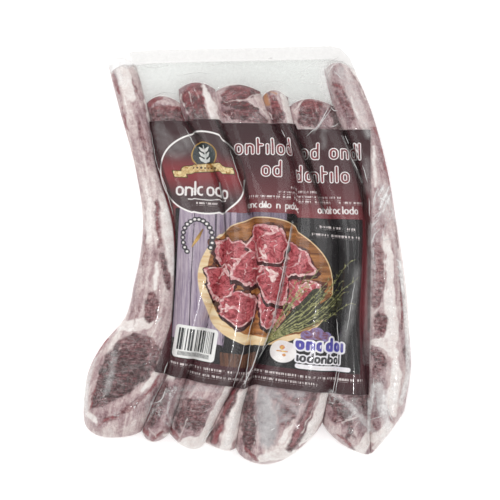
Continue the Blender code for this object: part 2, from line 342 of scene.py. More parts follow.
# Each stroke is a tapering band of what the saw laid bare, or of frost on it: x, y and half width
# in mm at each of its points. Before them, a stroke of lean has its tone, from 0 pale to 1 dark,
# and one of the ground between the others has its shade, from 0 fat to 1 meat.
LEFT_CHOP = {"ground": (
    (0.7, (-91, 121.5, 1.6), (-88.5, 115, 1.9), (-86.5, 109, 1.4)),
    (0.5, (-86, 107, 1.4), (-82.5, 96, 1.8), (-79, 82.5, 1.8), (-76, 71.5, 1.4)),
    (0.78, (-74.5, 95, 2.3), (-71.5, 83.5, 3), (-68.5, 71.5, 3.4), (-65.5, 60.5, 2.7)),
    (0.6, (-69.5, 15.5, 1.6), (-69.5, 5, 1.9), (-70.5, -6, 1.8)),
    (0.45, (-72.5, -11.5, 1.6), (-71.5, -19.5, 1.4)),
    (0.75, (-64.5, 3.5, 1.2), (-64.5, -6, 1.5), (-65.5, -17, 1.5), (-67, -24.5, 1.4)),
    (0.55, (-70.5, -29, 1.2), (-74.5, -39, 1.2), (-78, -49.5, 1.1)),
    (0.2, (-77, 128.5, 2), (-74.5, 119, 2.3), (-71.5, 109, 2)),
    (0.12, (-89.5, -56.5, 2), (-93.5, -62.5, 2), (-98.5, -66, 1.7)),
    (0.2, (-100.5, -119.5, 2), (-90, -119.5, 2.7), (-80, -117, 2.7), (-70.5, -111.5, 1.7)),
    (0.15, (-71.5, -90.5, 0.7), (-80, -95, 0.7), (-88, -100, 0.7), (-97.5, -105.5, 0.8)),
    (0.58, (-99.5, -115, 2), (-92, -111, 3.4), (-83.5, -106, 3.4), (-74.5, -100, 2.7), (-67, -93, 2)),
    (0.75, (-84, -111.5, 1.1), (-74.5, -105.5, 1.4), (-66.5, -98, 1.5), (-61, -90.5, 1.1)),
    (0.12, (-90, 131, 2), (-84, 109, 2), (-76, 85, 2), (-69, 61, 2.7), (-66.5, 37.5, 3.4),
     (-63, 10, 3.4)),
    (0.35, (-80, 122.5, 1.4), (-73, 102, 2)),
    (0.65, (-71, 100, 1.4), (-65.5, 85, 2), (-61, 68, 2.7), (-57.5, 52.5, 1.4)),
    (0.45, (-78, 112, 1.4), (-73, 92, 1.4), (-68.5, 71.5, 1.4)),
    (0.5, (-80, 97, 0.7), (-74.5, 75, 1.4), (-68.5, 51, 1.4)),
    (0.05, (-54, 37.5, 1.4), (-51.5, 10, 2), (-50.5, -11.5, 2)),
    (0.3, (-66.5, 7, 2), (-67.5, -10, 2), (-71.5, -30.5, 2), (-80, -44, 2)),
    (0.12, (-105.5, -64.5, 1.4), (-110, -85, 1.4), (-110, -105.5, 1.4)),
    (0.6, (-88, -95, 3.4), (-97, -109, 2.7)),
    (0.4, (-66.5, -95, 2.7), (-80, -109, 3.4), (-90, -120.5, 2.7)),
    (0.3, (-93.5, -58, 3.4), (-83.5, -47.5, 3.4)),
), "fat": (
    ((-89.5, 132.5, 3.4), (-85.5, 126, 4.1), (-82, 116.5, 3.7), (-79, 107, 3)),
    ((-69, 105.5, 1.4), (-67, 95, 1.4), (-65, 85, 1), (-63, 71.5, 1), (-59.5, 59, 1.1)),
    ((-57, 40, 2.7), (-54.5, 29, 4.1), (-54, 17, 4.1), (-52.5, 5, 3.4), (-51.5, -5, 2.4),
     (-50.5, -13, 1.6)),
    ((-66.5, 37.5, 1.4), (-67, 22.5, 2), (-67, 10, 1.6)),
    ((-61, -5, 1), (-61.5, -14.5, 1.7), (-62, -22, 1.4)),
    ((-86.5, -48.5, 2.7), (-76.5, -47.5, 3.4), (-66.5, -45.5, 3.4)),
    ((-108, -107, 1.7), (-103.5, -111.5, 2)), ((-61.5, -80, 1.7), (-66.5, -86.5, 2), (-70.5, -91, 1.4)),
), "lean": (
    (0.35, (-91, 122.5, 1), (-89.5, 116.5, 1.4), (-87.5, 110, 0.8)),
    (0.3, (-79, 119, 0.7), (-77, 115, 0.8), (-75, 110, 0.5)),
    (0.1, (-71.5, 86.5, 0.5), (-69, 74, 0.6), (-66.5, 63, 0.5)),
    (0.1, (-74.5, 93, 0.3), (-71.5, 81, 0.5), (-69, 68.5, 0.3)),
    (0.4, (-61.5, 36, 1.4), (-61, 26.5, 1.6), (-60.5, 16.5, 1.4)),
    (0.3, (-59.5, 14.5, 1.2), (-59, 6, 1.1)),
    (0.5, (-58, 0.5, 1.2), (-56, -7.5, 2), (-54.5, -15.5, 2.3), (-53.5, -23, 1.4)),
    (0.15, (-69.5, 13, 0.5), (-69.5, 3.5, 0.7), (-70.5, -6, 0.5)),
    (0.4, (-64.5, -28.5, 3.7), (-64, -34.5, 5.4), (-65.5, -41, 4.4)),
    (0.15, (-72.5, -33.5, 0.3), (-75, -41.5, 0.4), (-77, -48.5, 0.3)),
    (0.62, (-86.5, -60, 2), (-93, -68.5, 2.7), (-97, -78, 2.7), (-100.5, -87.5, 2.4), (-103, -96, 2),
     (-104.5, -102.5, 1.4)),
    (0.5, (-85.5, -60, 2.7), (-76, -56.5, 4.4), (-66.5, -60, 4.8), (-62, -64.5, 4.1)),
    (0.6, (-92, -70.5, 2.7), (-82.5, -66.5, 4.8), (-71.5, -66, 6.1), (-63.5, -68.5, 4.8)),
    (0.75, (-97.5, -79.5, 3.4), (-88, -75.5, 5.4), (-77, -73, 6.1), (-66.5, -74, 5.4)),
    (0.8, (-99.5, -87.5, 3.4), (-91, -85.5, 5.4), (-80, -81, 6.1), (-70.5, -81, 4.8)),
    (0.75, (-101.5, -96.5, 2.7), (-95, -94, 4.8), (-85.5, -90, 5.4), (-76, -85, 3.4)),
    (0.65, (-104.5, -102.5, 1.7), (-99.5, -100, 3.1), (-92, -96.5, 2.7)),
    (0.2, (-95, -112, 1), (-86.5, -108, 1.4), (-77, -102.5, 1.4), (-70.5, -96.5, 1)),
    (0.4, (-85.5, -106, 0.7), (-79, -101.5, 1), (-72.5, -96, 0.7)),
    (0.45, (-97.5, -113, 1.4), (-93.5, -110, 1.7), (-88.5, -109, 1)),
), "red": (
    ((-61.5, 35.5, 0.4), (-61, 26.5, 0.6), (-60.5, 17.5, 0.4)),
    ((-92, 122.5, 0.9), (-90, 116.5, 1.2), (-87.5, 110, 1)),
    ((-85.5, 101.5, 0.5), (-83.5, 94, 0.7), (-81.5, 85.5, 0.5)),
    ((-101.5, -115.5, 0.5), (-95.5, -111.5, 0.7), (-91, -109, 1)),
    ((-94, -57, 0.7), (-99, -62.5, 1.4), (-103, -68.5, 1)),
    ((-59.5, -82.5, 0.8), (-63, -87.5, 1.1), (-67, -92, 0.8), (-69.5, -95, 0.5)),
    ((-103, -87.5, 0.3), (-105, -97, 0.4), (-106.5, -104.5, 0.3)),
), "membrane": (
    ((-95, -97, 0.2), (-97.5, -94, 0.2), (-99.5, -90.5, 0.2)),
)}
SECOND_CHOP = {"ground": (
    (0.3, (-59.5, 104.5, 2), (-52.5, 104, 2.7), (-46, 103.5, 2.7)),
    (0.95, (-54, -88.5, 4.1), (-59.5, -98.5, 4.8), (-65, -109, 4.8)),
    (0.35, (-63.5, -119.5, 1.4), (-61, -117.5, 1.4)), (0.35, (-56, 109.5, 2), (-48, 109.5, 2)),
    (0.9, (-59.5, 97, 2.7), (-42.5, 97, 2.7)),
    (0.6, (-52.5, -85, 2.7), (-56, -98.5, 3.4), (-61, -115.5, 2.7)),
), "fat": (
    ((-57.5, 109.5, 1.7), (-51.5, 110, 2.4), (-46, 108, 2)),
    ((-71, -123, 0.5), (-68.5, -126, 0.9), (-65.5, -127, 0.6)), ((-57, -122.5, 0.7), (-54, -121, 0.8)),
), "lean": (
    (0.4, (-64.5, 98.5, 2), (-59.5, 99.5, 2), (-52.5, 99.5, 2.3), (-43, 98.5, 2)),
    (0.6, (-64.5, 94.5, 3.4), (-56, 94.5, 4.1), (-46, 94.5, 4.1), (-40.5, 93, 2.7)),
    (0.6, (-56, -90.5, 3.1), (-61, -100.5, 4.8), (-65.5, -111, 4.8)),
), "red": (
    ((-67, 102.5, 1.5), (-65, 105.5, 2), (-62, 107, 2.2), (-59.5, 106.5, 1.6)),
    ((-71.5, -117.5, 1.2), (-68.5, -119.5, 1.5), (-67, -121.5, 1.1)),
    ((-64.5, -126, 1.4), (-61, -122.5, 1.5), (-57.5, -119, 1.1)),
), "membrane": (
    ((-67, -117, 0.2), (-63.5, -119.5, 0.3), (-61.5, -123, 0.2)),
)}
THIRD_CHOP = {"ground": (
    (0.45, (-51.5, -93, 3.4), (-39, -92.5, 3.4), (-25.5, -92, 2.7)),
    (0.55, (-39, 119, 2), (-32.5, 98.5, 2.7)),
    (0.6, (-39, -88.5, 2.7), (-29, -86.5, 2.7), (-15.5, -88.5, 2)),
    (0.8, (-47.5, -98.5, 2.7), (-32.5, -105.5, 3.4), (-25.5, -115.5, 2.7)),
), "fat": (
    ((-45.5, 109, 0.5), (-43.5, 102.5, 0.5), (-41, 96.5, 0.6)),
    ((-31.5, 116.5, 0.7), (-29, 111.5, 2), (-26, 105.5, 2.7), (-24, 99.5, 3), (-22, 92, 3.3)),
    ((-44, -126.5, 2.7), (-39, -126.5, 4.4), (-33.5, -126.5, 4.8), (-29, -124, 3.1)),
    ((-12.5, -89, 1.8), (-16, -96, 2.4), (-20, -103.5, 2.6), (-23.5, -110, 2.7), (-27, -117, 2.9),
     (-30.5, -124, 3.1)),
), "lean": (
    (0.4, (-43, 109, 2), (-40, 112, 2.4), (-36.5, 115, 2.3), (-33.5, 115.5, 2)),
    (0.55, (-42, 105.5, 2.7), (-37, 109, 3.7), (-33, 111.5, 3.1)),
    (0.6, (-40, 100, 3.1), (-34.5, 103.5, 4.8), (-32.5, 106, 3.4)),
    (0.75, (-37.5, 93, 3.4), (-32.5, 96.5, 5.1), (-31, 92.5, 4.1)),
    (0.4, (-50, -99.5, 2.4), (-40.5, -100, 3.4), (-31, -100.5, 3.4), (-25, -99.5, 2)),
    (0.55, (-48.5, -106, 3.4), (-39, -106, 4.8), (-30.5, -105.5, 3.4)),
    (0.5, (-44.5, -112, 3.4), (-37.5, -113, 4.1), (-31, -112, 2.7)),
    (0.7, (-35, -116.5, 2), (-30.5, -113, 2)),
    (0.7, (-48.5, -113, 1.4), (-46.5, -116.5, 1.6), (-45, -119, 1)),
), "red": (
    ((-41, 113, 0.7), (-37, 115.5, 1), (-33.5, 116.5, 0.7)),
    ((-43, 109, 0.4), (-40.5, 103.5, 0.5), (-37.5, 98, 0.4)),
    ((-51.5, -116.5, 1.2), (-49.5, -120.5, 1.9), (-46.5, -124.5, 1.6)),
), "membrane": (
    ((-40.5, 111, 0.2), (-38.5, 106, 0.2), (-37, 102.5, 0.2)), ((-35.5, 111.5, 0.2), (-33.5, 107, 0.2)),
    ((-40, -109.5, 0.2), (-44, -117.5, 0.2), (-46.5, -126, 0.2)),
    ((-37.5, -104, 0.1), (-29, -105.5, 0.2), (-24, -102, 0.1)),
)}
FOURTH_CHOP = {"ground": (
    (0.3, (6.5, 107.5, 1.8), (9, 107, 2.3), (10.5, 102.5, 2.4)),
    (0.7, (-14.5, 98.5, 2.7), (1.5, 96, 2.7)), (0.1, (-5, -95, 2), (-13.5, -119, 2.7)),
), "fat": (
    ((-0.5, -88.5, 1.8), (-2.5, -94, 2.4), (-4.5, -98.5, 3.3), (-7, -105.5, 3.8), (-9, -112, 4.1),
     (-11, -119, 4.5), (-14, -126, 4.2), (-15.5, -131, 4.1)),
), "lean": (
    (0.6, (-16, 107.5, 2.3), (-10.5, 111.5, 3.4), (-3, 114, 3.7), (3, 114, 3.1), (7, 112, 1.7)),
    (0.75, (-13.5, 106, 2), (-5, 109, 3.4), (2.5, 109.5, 3.1)),
    (0.85, (-16.5, 103.5, 1.6), (-10.5, 102, 2.6), (-2.5, 100.5, 3.3), (6, 98.5, 2.4)),
    (0.5, (-14.5, 96, 2.7), (-3.5, 94.5, 3.7), (7, 93, 3.4), (12.5, 91, 2)),
    (0.55, (-6.5, -89, 1.4), (-9, -93, 2.6), (-12, -99.5, 3.1), (-14.5, -106, 2.6)),
    (0.45, (-16.5, -109, 2.6), (-19.5, -117, 3.3), (-23, -124.5, 3.1)),
), "red": (
    ((-8.5, -92, 0.7), (-12.5, -100, 0.9), (-16, -107.5, 0.9)),
    ((-17.5, -115, 1.2), (-20, -120.5, 1.6), (-23, -126, 1.2)),
    ((-13.5, 106, 0.5), (-7, 109, 0.6), (-1, 112, 0.6), (3, 115, 0.6)),
), "membrane": (
    ((-16, 104, 0.2), (-9, 104.5, 0.2), (-1, 105.5, 0.2), (6, 109, 0.3), (10.5, 112, 0.3)),
    ((0.5, 103.5, 0.3), (6, 101, 0.4), (12, 97, 0.4), (16, 92.5, 0.3)),
    ((-16, 96.5, 0.2), (-12, 93, 0.2), (-10, 90, 0.2)),
)}
FIFTH_CHOP = {"ground": (
    (0.7, (11, 97, 1.4), (14.5, 92.5, 1.4)),
    (0.15, (37, -102, 0.8), (33, -107.5, 1.1), (29, -113.5, 1.4)),
    (0.75, (15.5, -92, 3.4), (25.5, -93, 4.1), (37, -94.5, 3.4)),
    (0.35, (10, 105.5, 2.7), (18.5, 102, 2)), (0.75, (3, -98.5, 1.4), (1.5, -115.5, 2)),
    (0.75, (25.5, -90.5, 3.4), (42.5, -92, 3.4)),
    (0.3, (12.5, -98.5, 2.7), (16, -112, 2.7), (12.5, -124.5, 2)),
    (0.6, (30.5, -102, 2.7), (34.5, -109, 2)), (0.1, (15.5, -132.5, 2.7), (29, -126, 2.7)),
), "fat": (
    ((24, 109, 1.6), (26, 102.5, 2.3), (28, 96.5, 2.6), (29.5, 90, 2.7)),
    ((8.5, -137.5, 2.3), (14, -135.5, 3.4), (20.5, -134, 3.8), (29, -134.5, 3.3), (35.5, -132.5, 2)),
    ((29, -114, 1.1), (26, -119, 1.6), (23, -124, 2)),
    ((52.5, -93, 3), (51, -100.5, 3.3), (48, -108, 3.4), (44.5, -115, 3.9), (41, -121.5, 3.9),
     (37.5, -127, 2.7)),
), "lean": (
    (0.5, (16, 107.5, 1.7), (18, 102.5, 3.1), (20.5, 97, 3.4), (22, 92, 3.1)),
    (0.5, (14, 97, 1.4), (17.5, 94, 2), (19.5, 91, 2)),
    (0.72, (2.5, -92, 1.8), (1, -98.5, 3.4), (1, -107, 4.4), (1, -115.5, 4.8), (1, -124, 4.1),
     (1.5, -130, 2.7)),
    (0.3, (19.5, -96, 2), (27.5, -98, 3.4), (37, -97, 2.7)),
    (0.38, (23, -105.5, 2.7), (29.5, -105.5, 4.1), (33.5, -101.5, 2.7)),
    (0.4, (23.5, -113.5, 1.9), (27.5, -111.5, 1.8)),
    (0.55, (45, -92.5, 2.7), (43, -100.5, 3.1), (39, -109, 3.3), (35.5, -117, 3.5), (31.5, -125, 3.7),
     (28, -130.5, 2.4)),
    (0.35, (-1, -132, 1.4), (3.5, -136, 1.6)),
), "red": (
    ((43, -98.5, 0.7), (38.5, -109.5, 1), (34.5, -119, 1.2), (29.5, -128, 1.3)),
    ((35, -130, 0.6), (39, -127, 0.6)), ((-1, -130.5, 1.1), (3, -135.5, 1.4), (6.5, -138.5, 0.8)),
), "marrow": (
    ((12, 109.5, 1.1), (13, 106, 1.5), (13.5, 102.5, 1)), ((15.5, 111.5, 0.5), (20, 109.5, 0.7)),
), "membrane": (
    ((48.5, -94, 0.2), (43, -105.5, 0.3), (36.5, -119, 0.3)),
    ((12, 100, 0.3), (14.5, 96.5, 0.4), (17.5, 92, 0.3)),
    ((6.5, -101.5, 0.2), (5, -109.5, 0.2), (6, -119, 0.2), (3.5, -128.5, 0.2)),
), "ice": (
    ((10, -91, 3.7), (11, -98.5, 5.4), (12.5, -108, 6.8), (13.5, -117, 6.8), (13.5, -124.5, 5.1)),
    ((16, -92, 2.7), (20.5, -94.5, 3), (23.5, -98, 2)),
    ((27, -91, 1.8), (31.5, -93, 2.2), (36.5, -93, 1.8)), ((20, -101.5, 2.3), (22, -106, 1.9)),
    ((27.5, -98, 1.5), (31, -102, 2), (33.5, -104.5, 1.5)), ((24, -111, 1.4), (28, -108, 1.1)),
    ((36.5, -98.5, 1.4),),
), "frost": (
    ((22, -93, 2.7), (30.5, -98.5, 3.4), (35.5, -105.5, 2.7)),
)}
SIXTH_CHOP = {"ground": (
    (0.3, (32.5, 98.5, 1.4), (35, 93, 1.7), (34.5, 87.5, 2)),
    (0.35, (49.5, 106, 1.7), (52.5, 101.5, 1.7)),
    (0.3, (54.5, -113, 2.4), (61, -119.5, 2.7), (67, -126.5, 1.7)),
    (0.8, (59, -108, 3.4), (69.5, -104, 4.8), (79, -100, 4.1)), (0.85, (42.5, 93, 3.4), (52.5, 97, 2.7)),
    (0.8, (63, -98.5, 2.7), (68.5, -107, 3.4), (69.5, -115.5, 2.7)), (0.5, (80, -109, 2.7)),
    (0.3, (59.5, -88.5, 1.4), (73, -127, 2)),
), "fat": (
    ((71, -135.5, 2.4), (75, -132.5, 4.1), (78.5, -128, 4.4), (82, -122.5, 3.4)),
), "lean": (
    (0.5, (38.5, 101.5, 2.7), (43, 103.5, 3.4), (48, 101.5, 2.7)),
    (0.6, (38.5, 96.5, 3.4), (43, 97, 4.8), (47.5, 96, 3.1)), (0.55, (37.5, 91, 3.1), (45, 91, 4.1)),
    (1, (58, 100.5, 2), (60, 94, 3), (63, 86.5, 3.4)),
    (0.6, (56, -97, 3.4), (61.5, -102.5, 4.8), (67, -107, 3.4)),
    (0.45, (60, -111, 2.7), (69.5, -111, 3.4)),
    (0.6, (68.5, -96, 2), (75, -97, 4.1), (79, -100, 3.4), (80.5, -107, 2)),
    (0.65, (69.5, -116.5, 2.3), (67.5, -121.5, 2), (67, -125, 1.1)),
    (0.45, (63.5, -121.5, 0.8), (67.5, -126.5, 1.1), (71.5, -131, 1)),
    (0.4, (67.5, -117.5, 0.8), (71.5, -122.5, 1)),
), "red": (
    ((61, -120.5, 0.7), (65.5, -124.5, 1), (69.5, -128.5, 1.3)),
), "membrane": (
    ((44, 99.5, 0.2), (45, 95, 0.2)), ((46.5, 101.5, 0.2), (47.5, 97, 0.2)),
    ((31.5, 98, 0.4), (35, 102.5, 0.4), (39, 106, 0.4)),
    ((63, -113, 0.4), (69, -110, 0.5), (75, -108, 0.4)),
    ((68.5, -123, 0.2), (71, -117.5, 0.2), (74, -113, 0.2)),
), "frost": (
    ((63, -113, 2), (74, -108, 2)),
)}
RIGHT_CHOP = {"ground": (
    (0.3, (74, 90, 1.4), (80.5, 89, 1.6), (85.5, 89, 1.4)),
    (0.15, (106.5, -79.5, 2), (105.5, -90.5, 2.7), (103, -100, 2)),
    (0.6, (106.5, -89, 0.8), (105, -96, 1.1), (103, -102.5, 1)),
    (0.65, (61.5, 127, 1.5), (63, 121.5, 1.2)),
    (0.45, (69.5, 113.5, 3.4), (75, 104, 4.1), (79, 94.5, 3.4)),
    (0.8, (60, 111, 1.5), (63, 103.5, 2), (66.5, 97, 2.3), (70.5, 91, 1.8)),
    (0.6, (84, 105.5, 1), (85.5, 97, 1.1), (87.5, 89, 1)),
    (0.5, (82.5, 107, 0.7), (84, 98.5, 0.8), (85.5, 91, 0.7)),
    (0.45, (88.5, 74, 1.4), (91.5, 61, 1.6), (93, 49.5, 1.4)),
    (0.6, (97.5, 43, 1.1), (99, 34, 1.6), (99.5, 25, 1.2)),
    (0.65, (85.5, 32, 2), (86, 20.5, 2.7), (86.5, 10, 3.1)),
    (0.45, (92, 34, 2), (93.5, 24, 2.3), (93.5, 15.5, 1.8)),
    (0.4, (99.5, -15.5, 1.1), (100.5, -24, 1.8), (101, -36, 1.9), (103, -48.5, 1.6)),
    (0.85, (86.5, -81, 3.4), (87.5, -89, 3.4), (88, -97, 2.9), (88.5, -105.5, 2.3)),
    (0.5, (104.5, -73, 0.8), (104.5, -79, 1), (102.5, -83.5, 0.7)),
    (0.6, (99.5, -101.5, 0.7), (101.5, -106, 1), (102.5, -109.5, 0.7)),
    (0.7, (84.5, -104, 2), (86.5, -111, 2.7), (88.5, -116.5, 2.3)),
    (0.42, (66.5, 124.5, 2.7), (72.5, 109, 2.7), (80.5, 88.5, 2.7), (86, 68, 2)),
    (0.5, (58, 111, 1.4), (65, 93, 1.4), (71, 85, 1.4)),
    (0.5, (88.5, 56.5, 2), (89.5, 37.5, 2.7), (90, 18.5, 2.7)),
    (0.65, (86.5, 7, 2), (87.5, -10, 2.7), (86, -24, 2.7)),
    (0.15, (97, 37.5, 1.4), (102.5, 10, 2), (106.5, -24, 2)),
    (0.45, (102.5, -5, 0.7), (103.5, -30.5, 1.4), (103, -51, 1.4)),
    (0.1, (98.5, -61, 2), (97.5, -81.5, 2), (95.5, -102, 2)),
    (0.7, (88.5, -71.5, 2), (88.5, -92, 2.7), (88, -107, 2)),
), "fat": (
    ((70.5, 131, 2), (74, 122.5, 1.9), (77, 115, 1.5), (80.5, 107, 1)),
    ((70.5, 107, 0.5), (72.5, 100, 0.7), (75, 92, 0.6)),
    ((61.5, 107.5, 0.2), (64.5, 102, 0.3), (67.5, 95, 0.3)),
    ((85.5, 74, 0.7), (86, 61, 1.1), (86.5, 47, 0.8)),
    ((93.5, 13, 1.8), (94, 6, 2.7), (95, -0.5, 3), (95, -11.5, 3.1), (95.5, -24, 3.4), (96, -34.5, 3.7),
     (97.5, -44, 3.9), (97.5, -53.5, 4.4), (95.5, -61, 4.1)),
    ((99.5, -73, 2.7), (100.5, -81, 3.7), (99, -90.5, 4.1), (97, -98.5, 3.4), (98.5, -107, 2.7)),
    ((84.5, -59, 1.6), (90, -58.5, 3.1), (95.5, -62, 4.1), (99, -66.5, 3.1)),
    ((84.5, -124.5, 2.7), (90, -120.5, 3.4), (95.5, -115, 2.7), (87.5, -130, 2.7)),
    ((105.5, -7, 1.4), (107, -24, 1.4), (108.5, -44, 1.4), (109, -54.5, 1.4)),
), "lean": (
    (0.3, (69.5, 126, 0.5), (74, 119.5, 0.8), (78, 113, 0.9), (80.5, 107.5, 0.6)),
    (0.25, (59, 116.5, 1.2), (61.5, 115.5, 1.9), (64.5, 113.5, 2)),
    (0.5, (60, 111, 0.7), (62, 106, 1), (65, 100.5, 1), (67.5, 95, 0.8)),
    (0.45, (64.5, 111, 1.2), (67, 106, 1.6), (69.5, 100.5, 1.6), (71.5, 95, 1.4), (73, 92.5, 0.8)),
    (0.25, (82.5, 107, 0.7), (84, 100.5, 0.9), (86, 93, 0.8), (87.5, 87.5, 0.5)),
    (0.1, (92, 22.5, 0.5), (93, 17, 0.7), (93.5, 13, 0.5)),
    (0.3, (100, 22.5, 0.5), (101, 10, 0.8), (101.5, 3.5, 0.5)),
    (0.26, (87.5, 5, 3.4), (88, -5, 4.1), (88, -14.5, 4.4), (87.5, -24, 4.2), (86, -32.5, 3)),
    (0.3, (102.5, -14.5, 0.7)),
    (0.25, (103.5, -10, 0.5), (104.5, -20.5, 1.4), (105, -30.5, 1.5), (105.5, -41, 1.3),
     (104.5, -49.5, 0.9)),
    (0.45, (87.5, -41, 2.4), (90, -44, 4.4), (89.5, -49.5, 4.8), (87.5, -53.5, 2.2)),
    (0.5, (84.5, -64.5, 2.3), (88, -67.5, 3.4), (91, -72, 3.8), (88, -76, 3.7), (86, -77, 2)),
    (0.2, (86.5, -82.5, 1.6), (88, -90.5, 1.4), (88.5, -97, 1)),
    (0.5, (106.5, -60.5, 0.7), (107, -66, 1.6), (109, -70.5, 1), (110, -77.5, 0.6)),
    (0.3, (84, -111, 0.7), (86, -117.5, 1)), (0.25, (91, -104.5, 0.5), (90, -112, 0.7)),
), "red": (
    ((103.5, -17, 0.5), (105, -30.5, 0.7), (105, -43, 0.5)),
    ((86.5, 86.5, 0.8), (88.5, 82.5, 1.2), (90, 78, 1)),
    ((92, 72, 1), (94, 64.5, 1.5), (95.5, 56.5, 1.2), (97, 48.5, 0.8)),
    ((60, 116.5, 0.5), (63.5, 114, 1.1)), ((93, 0, 0.3), (93.5, -13.5, 0.4), (93.5, -26, 0.3)),
    ((107, -62, 0.3), (109, -70.5, 0.5), (110.5, -77, 0.3)),
), "membrane": (
    ((83.5, -39.5, 0.4), (87.5, -36.5, 0.5), (91, -32, 0.4)),
    ((84.5, -81.5, 0.2), (90, -82.5, 0.3), (95.5, -83.5, 0.2)),
)}
MARKINGS = (LEFT_CHOP, SECOND_CHOP, THIRD_CHOP, FOURTH_CHOP, FIFTH_CHOP, SIXTH_CHOP, RIGHT_CHOP)
GROUNDS = (0.25, 0.6, 0.6, 0.5, 0.55, 0.65, 0.25)    # shade of each chop where no stroke is near
FROSTS = (0.28, 0.3, 0.3, 0.25, 0.3, 0.35, 0.4)      # bloom of ice on each chop
FIELD_REACH = 6.0                                    # mm past which a field stops counting
KINDS = ("fat", "lean", "red", "marrow", "membrane", "ice", "frost")
TONE_FADES = {"lean": 1.2, "ground": 1.8}            # mm over which one stroke's tone gives way
TONE_STARTS = {"lean": 1e-6, "ground": 0.25}         # weight of the tone where no stroke is near
TONE_DEEPEST, PLAIN_LEAN = 4, 0.5                    # mm past which depth adds no weight; tone
FEATHERS = ((13, 0.5), (5, 0.25))                    # mm from crest to crest, and mm of shift
HIDDEN_SPAN, HIDDEN_TAPER = (-84, 86), 0.3           # y under the label
HIDDEN_RIB, HIDDEN_RIB_HALF = 0.28, 3.0              # share across, and mm
HIDDEN_LEAN, HIDDEN_LEAN_HALF = 0.68, 0.2            # shares across
FRESH_FROM, FRESH_TO = 92, 103                       # y over which the lean turns redder
FRESH_AT_SIDES, FRESH_CLEARS = 0.3, 0.8              # share of that, and of the bloom it lacks
RIMED = 0.55                                         # bloom that a stroke of frost adds


def stroke_depth(points, x, y):
    """mm inside a tapering stroke: its half width less the distance to its spine."""
    depth = np.full(x.shape, -FIELD_REACH)
    if len(points) == 1:
        points = points * 2
    for (ax, ay, aw), (bx, by, bw) in zip(points, points[1:]):
        long = max((bx - ax) ** 2 + (by - ay) ** 2, 1e-9)
        t = np.clip(((x - ax) * (bx - ax) + (y - ay) * (by - ay)) / long, 0, 1)
        off = np.hypot(x - ax - (bx - ax) * t, y - ay - (by - ay) * t)
        depth = np.maximum(depth, aw + (bw - aw) * t - off)
    return depth


def wander(x, y, size, reach):
    """A shift of x and of y: sines of sines that cross each other, about size mm from crest to
    crest and up to reach mm strong."""
    k = 2 * pi / size
    u = np.sin(k * (0.8 * x + 0.6 * y) + 1.7 * np.sin(0.6 * k * (y - 0.5 * x) + 0.7))
    v = np.sin(k * (0.7 * y - 0.7 * x) + 1.7 * np.sin(0.6 * k * (x + 0.4 * y) + 2.1))
    return reach * u, reach * v


def chop_fields(chop, across, x, y):
    """The deepest stroke of each kind at each point, and the tones of lean and ground there:
    the mean of the near strokes' tones, each weighed by e to the power of how deep it is."""
    depth = {kind: np.full(x.shape, -FIELD_REACH) for kind in KINDS}
    width = seam_x(chop + 1, y) - seam_x(chop, y)
    if 0 < chop < CHOPS - 1:           # under the label a rib lies beside lean
        hidden = np.minimum(y - HIDDEN_SPAN[0], HIDDEN_SPAN[1] - y) * HIDDEN_TAPER
        depth["fat"] = np.minimum(HIDDEN_RIB_HALF - np.abs(across - HIDDEN_RIB) * width, hidden)
        depth["lean"] = np.minimum((HIDDEN_LEAN_HALF - np.abs(across - HIDDEN_LEAN)) * width, hidden)
    for size, reach in FEATHERS:
        shift_x, shift_y = wander(x, y, size, reach)
        x, y = x + shift_x, y + shift_y
    weight = {kind: np.full(x.shape, start) for kind, start in TONE_STARTS.items()}
    tone = {"lean": PLAIN_LEAN * weight["lean"], "ground": GROUNDS[chop] * weight["ground"]}
    for kind, strokes in MARKINGS[chop].items():
        for points in strokes:
            if kind in tone:
                shade, *points = points
            inside = stroke_depth(points, x, y)
            if kind in depth:
                depth[kind] = np.maximum(depth[kind], inside)
            if kind in tone:
                near = np.exp(np.clip(inside, -FIELD_REACH, TONE_DEEPEST) / TONE_FADES[kind])
                weight[kind], tone[kind] = weight[kind] + near, tone[kind] + near * shade
    depth["tone"] = tone["lean"] / weight["lean"]
    depth["ground"] = tone["ground"] / weight["ground"]
    side = chop in (0, CHOPS - 1)
    depth["fresh"] = rise(y, FRESH_FROM, FRESH_TO) * (FRESH_AT_SIDES if side else 1.0)
    rimed = RIMED * rise(depth.pop("frost"), -3, 2)
    depth["frosting"] = FROSTS[chop] * (1 - FRESH_CLEARS * depth["fresh"]) + rimed
    return depth


def chop_mesh(chop):
    """Rows from lobe to tip and columns from seam to seam, a little inside the film's skin. Lean
    lies sunk below fat and bone, and the saw has left low waves in both: sines of x and of y."""
    across, along = np.meshgrid(crowded(np.linspace(0, 1, CHOP_COLUMNS), CROWD_ACROSS),
                                crowded(np.linspace(0, 1, CHOP_ROWS), CROWD_ALONG))
    low, high = bottom_edge(chop, across), rib_end(chop, across)
    y = low + (high - low) * along
    top, bottom = skin_top(chop, across, y), skin_bottom(chop, across, y)
    x = skin_x(chop, SIDE_GAP + (1 - 2 * SIDE_GAP) * across, y)
    y = y + END_GAP * (1 - 2 * along)
    fields = chop_fields(chop, across, x, y)
    sunk = LEAN_SUNK * rise(fields["lean"], -1, 1) * (1 - rise(fields["membrane"], -0.5, 0.5))
    waves = SAW_WAVE * (1 + np.sin(x * 0.9 + 2 * np.sin(y * 0.21)) * np.sin(y * 0.55 + chop))
    free = dome(chop, across) * round_rise(along / LEVEL_END) * round_rise((1 - along) / LEVEL_END)
    top = top - UNDER_FILM - (sunk + waves) * free
    bottom = bottom + UNDER_FILM + sunk / 2 * free
    grown = np.stack([(x - skin_x(chop, 0.5, y)) / CHOP_UNIT + chop, y / CHOP_UNIT], axis=2)
    return (two_skins(x, y, top, bottom), both_faces(grown),
            {kind: both_faces(values) for kind, values in fields.items()})


